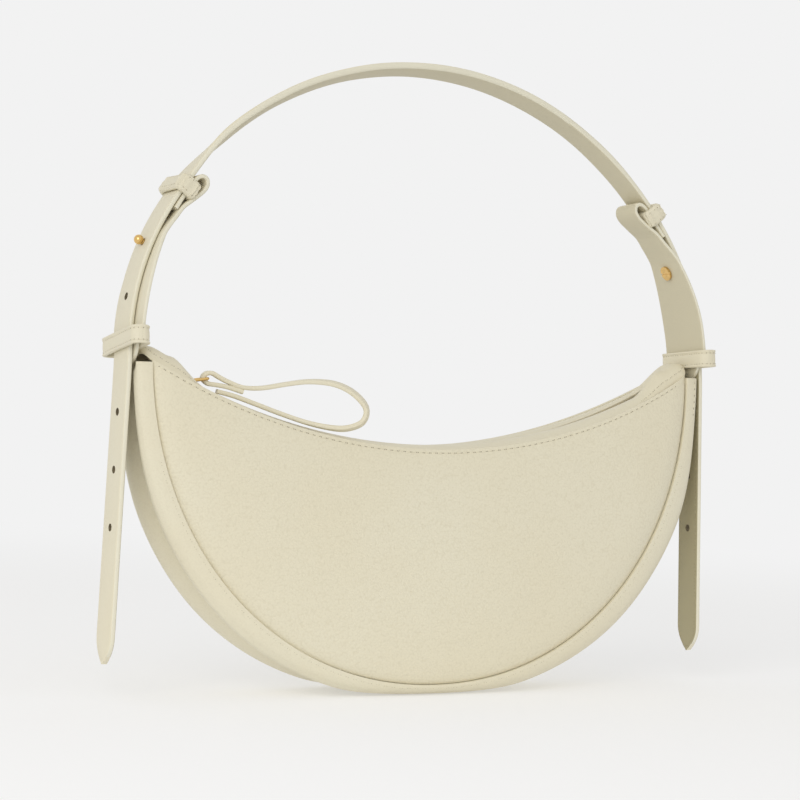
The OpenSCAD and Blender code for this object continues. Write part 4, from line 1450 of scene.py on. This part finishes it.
def soft_loop(name, section, line, place, swell):
    """A band whose section follows a closed line. swell(share, out) puffs it outwards."""
    frames = []
    for i, (point, out) in enumerate(line):
        puff = swell(i / (len(line) - 1), out)
        turn = axes(Vector((out[0], out[1], 0)) * puff, Vector((0, 0, 1)),
                    Vector((out[1], -out[0], 0)))
        frames.append(place @ Matrix.Translation((point[0], point[1], 0)) @ turn)
    return pressed_strip(name, section, frames, closed=True)


def on_strap(s):
    """A place on the right side of the strap: X outwards, Y across, Z up it."""
    x, z = strap_at(s)
    slope = strap_slope(s)
    out = Vector((math.sin(slope), 0, math.cos(slope)))
    up = Vector((-math.cos(slope), 0, math.sin(slope)))
    return LEAN @ Matrix.Translation((x, 0, z)) @ axes(out, ACROSS, up)


# %% Keepers
KEEPER_T, KEEPER_CORNER, KEEPER_ROOM = 2, 3.4, 2
KEEPER_ASKEW = {"right": 0, "left": math.radians(-7)}
STACK_T = STRAP_T + TAB_T + 3 * GAP
TO_STACK_MIDDLE = Matrix.Translation((-(TAB_T + GAP) / 2, 0, 0))
KEEPER_SECTION = [(1.0, -3.3), (1.3, -3.75), (1.35, -4.2), (1.05, -4.6), (0.4, -4.75), (-0.5, -4.6),
                  (-0.95, -4.1), (-1.0, -3.0), (-1.0, 0), (-1.0, 3.0), (-0.95, 4.1), (-0.5, 4.6),
                  (0.4, 4.75), (1.05, 4.6), (1.35, 4.2), (1.3, 3.75), (1.0, 3.3), (0.9, 2.9),
                  (1.0, 2.2), (1.1, 1.1), (1.12, 0), (1.1, -1.1), (1.0, -2.2), (0.9, -2.9)]
KEEPER_PUFF, KEEPER_WAVES = 0.12, 9

keeper_band = loop_line(STACK_T, TAB_W + KEEPER_ROOM, KEEPER_T, KEEPER_CORNER, side_steps=8)
keeper_places = {name: on_strap(S_KEEPER) @ Matrix.Rotation(askew, 4, "X") @ TO_STACK_MIDDLE
                 for name, askew in KEEPER_ASKEW.items()}


def keeper_puffs(share, out):
    """A keeper swells a little between its folds."""
    return 1.0 + KEEPER_PUFF * math.sin(KEEPER_WAVES * math.pi * share) ** 2


keepers = {}
for name, place in keeper_places.items():
    keeper = soft_loop(f"{name}_keeper_leather", KEEPER_SECTION, keeper_band, place, keeper_puffs)
    if name == "left":
        keeper.data.transform(FLIP)
        merge_and_turn_out(keeper)
    smooth(keeper, 50)
    paint_piece(keeper, strap_hide)
    dress(keeper, "handle", "grained_leather", f"{name}_keeper")
    keepers[name] = keeper

# %% Rings
RING_T, RING_UP, RING_CORNER = 2, 2, 2.4
RING_SECTION = [(0.2, -4.9), (-0.6, -4.7), (-1.0, -3.9), (-1.0, -1.5), (-1.0, 1.5), (-1.0, 3.9),
                (-0.6, 4.7), (0.2, 4.9), (1.2, 4.6), (1.9, 3.8), (2.2, 2.7), (2.0, 1.6), (2.2, 0.6),
                (2.35, -0.4), (2.1, -1.5), (2.25, -2.7), (1.9, -3.8), (1.2, -4.6)]

ring_band = loop_line(STACK_T, max(STRAP_W, EYE_W) + 2 * GAP, RING_T, RING_CORNER, steps=11)
ring_place = on_strap(S_RING - RING_UP) @ TO_STACK_MIDDLE


def ring_creases(share, out):
    """A ring creases most at its corners, where the leather is bent hard."""
    corner = abs(out[0] * out[1]) * 2
    creases = 0.2 * math.sin(46 * math.pi * share) * corner
    puffs = 0.1 * math.sin(8 * math.pi * share) + 0.08 * math.sin(14 * math.pi * share + 1)
    return 1.0 + creases + puffs


right_ring = soft_loop("right_ring_leather", RING_SECTION, ring_band, ring_place, ring_creases)
rings = {"right": right_ring, "left": mirrored(right_ring, "left_ring_leather")}
for name, ring in rings.items():
    smooth(ring, 55)
    paint_piece(ring, strap_hide)
    dress(ring, "handle", "grained_leather", f"{name}_ring")

# %% [markdown]
# ## Zip pull
# A narrow strip of leather goes through the gold link, out in a long loop and back, and its
# two ends lie over each other behind the link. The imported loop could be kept, but the
# leather one is softer on its edges and turns a little on its side at the far end. So a
# rounded section is extruded along the same curve and twisted on the way.

# %% Pull loop
PULL_TURN, LINK_TILT = math.radians(14), math.radians(10)
LINK_BAR = 9.0
PULL_W, PULL_T, PULL_L, PULL_CORNER = 6, 2, 87, 0.75
PULL_THICK_SHARE = 1.15
PULL_TWIST = math.radians(26)
TWIST_FROM_SHARE, TWIST_FULL_SHARE = 0.48, 0.64
UNTWIST_FROM_SHARE, UNTWIST_TO_SHARE = 0.68, 0.86
PULL_SHARES = ((0.215, -0.073), (0.130, -0.048), (0.055, -0.036), (0.005, -0.029), (-0.024, 0.000),
               (-0.006, 0.027), (0.030, 0.031), (0.070, 0.010), (0.130, -0.018), (0.215, -0.046),
               (0.330, -0.046), (0.470, -0.020), (0.610, 0.000), (0.760, -0.008), (0.880, -0.058),
               (0.962, -0.145), (0.945, -0.228), (0.855, -0.268), (0.750, -0.268), (0.600, -0.240),
               (0.430, -0.188), (0.270, -0.133), (0.160, -0.097), (0.060, -0.074))
PULL_STEPS = 5


def pull_twist(share):
    """Twist of the strip at a share of its length: it comes and goes near the far end."""
    comes = ease(share, TWIST_FROM_SHARE, TWIST_FULL_SHARE)
    return PULL_TWIST * comes * (1 - ease(share, UNTWIST_FROM_SHARE, UNTWIST_TO_SHARE))


bar_at = Vector((LINK_BAR * math.cos(LINK_TILT), 0, LINK_BAR * math.sin(LINK_TILT)))
pull_place = (Matrix.Translation(joint_places["link_lift"]) @ Matrix.Rotation(-PULL_TURN, 4, "Z")
              @ Matrix.Translation(bar_at))
pull_line = smooth_line([Vector(p) * PULL_L for p in PULL_SHARES], PULL_STEPS)
pull_frames = []
for i, (point, along) in enumerate(zip(pull_line, runs_along(pull_line))):
    place, out, down = line_frame(point, along)
    twist = Matrix.Rotation(pull_twist(i / (len(pull_line) - 1)), 4, "Z")
    thicker = Matrix.Scale(PULL_THICK_SHARE, 4, (1, 0, 0))
    pull_frames.append(pull_place @ place @ axes(out, ACROSS, down) @ twist @ thicker)
pull_section = round_section(PULL_T, PULL_W, PULL_CORNER)
pull_loop = pressed_strip("pull_loop_leather", pull_section, pull_frames)
smooth(pull_loop, 42)
paint_piece(pull_loop, strap_hide)
dress(pull_loop, "loop", "grained_leather", "pull_loop")

# %% [markdown]
# ## Stitches
# On the real bag thread runs in rows close to the edges, and its holes show as small dark
# points between the stitches. A row could be painted as a bump, but painted stitches could
# not follow the swell of the lobes. One stitch is modelled from a sphere that is stretched
# to a grain of rice, with a needle hole at each end, and then copied along the seams. Each
# copy is set on the leather's own surface and turned along its row. A row is joined to one
# piece and rides on the body of its leather.

# %% One stitch
STITCH_L, STITCH_W, STITCH_H = 2.5, 0.62, 0.5
HOLE_W, HOLE_BEYOND, HOLE_UP = 0.55, 0.22, 0.06


def make_stitch():
    """A stitch along X that lies on the plane z = 0, with its two needle holes."""
    deselect_all()
    bpy.ops.mesh.primitive_uv_sphere_add(segments=8, ring_count=5, radius=0.5 * MM)
    stitch = bpy.context.object
    stitch.name = stitch.data.name = "stitch"
    bpy.ops.object.mode_set(mode="EDIT")
    bpy.ops.mesh.select_all(action="SELECT")
    bpy.ops.transform.resize(value=(STITCH_L, STITCH_W, STITCH_H), center_override=(0, 0, 0))
    # Each needle hole is a flat disc in the dark hole colour: painted shade for the hole's inside.
    for end in (-1, 1):
        spot = (end * (STITCH_L / 2 + HOLE_BEYOND) * MM, 0, HOLE_UP * MM)
        bpy.ops.mesh.primitive_circle_add(vertices=10, radius=HOLE_W / 2 * MM, fill_type="NGON",
                                          location=spot)
    bpy.ops.object.mode_set(mode="OBJECT")
    paint_piece(stitch, thread, needle_hole_shade)
    for face in stitch.data.polygons:
        face.material_index = 1 if len(face.vertices) > 4 else 0
        face.use_smooth = face.material_index == 0
    return stitch


stitch = make_stitch()
print("one stitch:", len(stitch.data.polygons), "faces, box",
      [round(c / MM, 2) for c in stitch.dimensions])


# %% Rows of stitches
STRAY_MOST = 3


def even_places(line, pitch):
    """Places at one pitch along a line, each with the line's direction there."""
    spots, walked, due = [], 0.0, pitch / 2
    for start, end in zip(line, line[1:]):
        reach = (end - start).length
        while reach > 0 and due <= walked + reach:
            spots.append((start.lerp(end, (due - walked) / reach), (end - start).normalized()))
            due += pitch
        walked += reach
    return spots


def stitch_row(name, piece, line, pitch, body, size_share=1.0):
    """Stitches along a line, in millimetres, on the surface of a piece, joined to one row. A
    stitch is left out where the surface strays too far from the line."""
    copies = []
    for place, along in even_places([Vector(p) for p in line], pitch):
        found, spot, normal = piece.closest_point_on_mesh(place * MM)[:3]
        if not found or (spot / MM - place).length > STRAY_MOST:
            continue
        along = (along - along.dot(normal) * normal).normalized()
        one = bpy.data.objects.new(name, stitch.data.copy())
        bpy.context.scene.collection.objects.link(one)
        turn = axes(along, normal.cross(along), normal)
        one.data.transform(Matrix.Translation(spot) @ turn @ Matrix.Scale(size_share, 4))
        copies.append(one)
    take(*copies)
    bpy.ops.object.join()
    row = bpy.context.object
    row.name = row.data.name = name
    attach(row, body)
    print(name, "-", len(copies), "stitches")
    return row


# %% Rows along the rims
RIM_DROP, RIM_PITCH, RIM_OUT = 1.9, 3.8, 0.4
RIM_ROW_FROM, RIM_ROW_TO, RIM_STEP = -157, 152, 2
for piece, side, name in ((front_leather, -1, "front"), (back_leather, 1, "back")):
    rim = [(x, side * (mouth_half(x) + RIM_OUT), rim_z(x) - RIM_DROP)
           for x in range(RIM_ROW_FROM, RIM_ROW_TO, RIM_STEP)]
    stitch_row(f"{name}_rim_stitches", piece, rim, RIM_PITCH, "bag")

# %% Rows on the gusset
HEM_PITCH, HEM_UP, HEM_STITCH_SHARE = 4.6, 2.1, 0.5
HEM_ROW_FROM, HEM_ROW_TO = 16, 164
hem_turns = [math.radians(a) for a in even_steps(HEM_ROW_FROM, HEM_ROW_TO, 240)]
for side, name in ((-1, "front"), (1, "back")):
    hem = [gusset_point(turn, side * half_depth(turn), HEM_UP) for turn in hem_turns]
    stitch_row(f"gusset_{name}_hem_stitches", gusset_leather, hem, HEM_PITCH, "bag",
               HEM_STITCH_SHARE)

END_PITCH, END_UP, END_STITCH_SHARE = 3.6, 6.2, 1.1
END_ROW_FROM, END_ROW_TO = 1.2, 6.4
end_turns = [math.radians(a) for a in even_steps(END_ROW_FROM, END_ROW_TO, 12)]
end_line = [gusset_point(turn, -half_depth(turn), END_UP) for turn in end_turns]
stitch_row("right_gusset_end_stitches", gusset_leather, end_line, END_PITCH, "bag",
           END_STITCH_SHARE)

# %% Rows round the tongues
TONGUE_INSET, TONGUE_PITCH, TONGUE_STITCH_SHARE = 1.9, 3.6, 0.85
TONGUE_ROW_X = 128
TONGUE_FROM_SHARE = 0.79
tongue_xs = [facing_x(share) for share in even_steps(TONGUE_FROM_SHARE, 1, 60)]
tongue_edge = [Vector((x, -facing_half(x))) for x in tongue_xs]
tongue_edge += [Vector((x, facing_half(x))) for x in tongue_xs[-2::-1]]
for side, name in ((1, "right"), (-1, "left")):
    line = []
    for back, here, ahead in zip(tongue_edge, tongue_edge[1:], tongue_edge[2:]):
        run = (ahead - back).normalized()
        spot = here + TONGUE_INSET * Vector((-run[1], run[0]))
        if spot[0] > TONGUE_ROW_X:
            line.append((side * spot[0], spot[1], facing_top(*spot)))
    stitch_row(f"{name}_tongue_stitches", facing_leather, line, TONGUE_PITCH, "bag",
               TONGUE_STITCH_SHARE)

# %% Rows on keepers and rings
ring_places = {name: ring_place for name in rings}
# In millimetres: how far out the thread lies, how far up or down, and the pitch. The last
# value is the share of a full stitch.
BAND_ROWS = (("keeper", keepers, keeper_band, keeper_places, 1, 2.9, 4.6, 0.9),
             ("ring", rings, ring_band, ring_places, 2, 3.1, 4.2, 0.8))
for kind, pieces, band, places, out_mm, up_mm, pitch, size_share in BAND_ROWS:
    for name, side in (("right", 1), ("left", -1)):
        for up, edge in ((up_mm, "upper"), (-up_mm, "lower")):
            line = []
            for point, out in band:
                spot = Vector((point[0] + out_mm * out[0], point[1] + out_mm * out[1], up))
                line.append(side_flip(side) @ (places[name] @ spot))
            stitch_row(f"{name}_{kind}_{edge}_stitches", pieces[name], line, pitch, "handle",
                       size_share)

# %% Rows on the tails
TAIL_EDGE, TAIL_PITCH, TAIL_STITCH_SHARE = 1.9, 4.0, 0.8
TAIL_ROW_FROM, TAIL_ROW_SHORT = 18, 2.5
row_downs = even_steps(TAIL_ROW_FROM, TAIL_L - TAIL_ROW_SHORT, 80)
for tail, side, name in ((right_tail, 1, "right"), (left_tail, -1, "left")):
    line = []
    for edge, downs in ((-1, row_downs), (1, row_downs[::-1])):
        for down in downs:
            half = STRAP_W / 2 * tail_width(down) - TAIL_EDGE
            if half > 0:
                spot = tail_frame(down) @ Vector((-STRAP_T / 2, edge * half, 0))
                line.append((side * spot[0], spot[1], spot[2]))
    row = stitch_row(f"{name}_tail_stitches", tail, line, TAIL_PITCH, f"tail_{name}",
                     TAIL_STITCH_SHARE)
    # The tails' rows take the darker thread, painted shade for the shaded inner faces.
    row.data.materials[0] = tail_thread_shaded
bpy.data.objects.remove(stitch)

# %% [markdown]
# ## Box of the dressed bag
# The box of the dressed bag is printed beside that of the imported model. Leather may stand
# out by a stitch or a soft edge, and no more.

# %% Box of the dressed bag
visual_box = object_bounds()
for axis, low, high, cad_low, cad_high in zip("XYZ", *visual_box, *cad_box):
    print(axis, "visual", round(low / MM, 1), round(high / MM, 1),
          "packed", round(cad_low / MM, 1), round(cad_high / MM, 1))
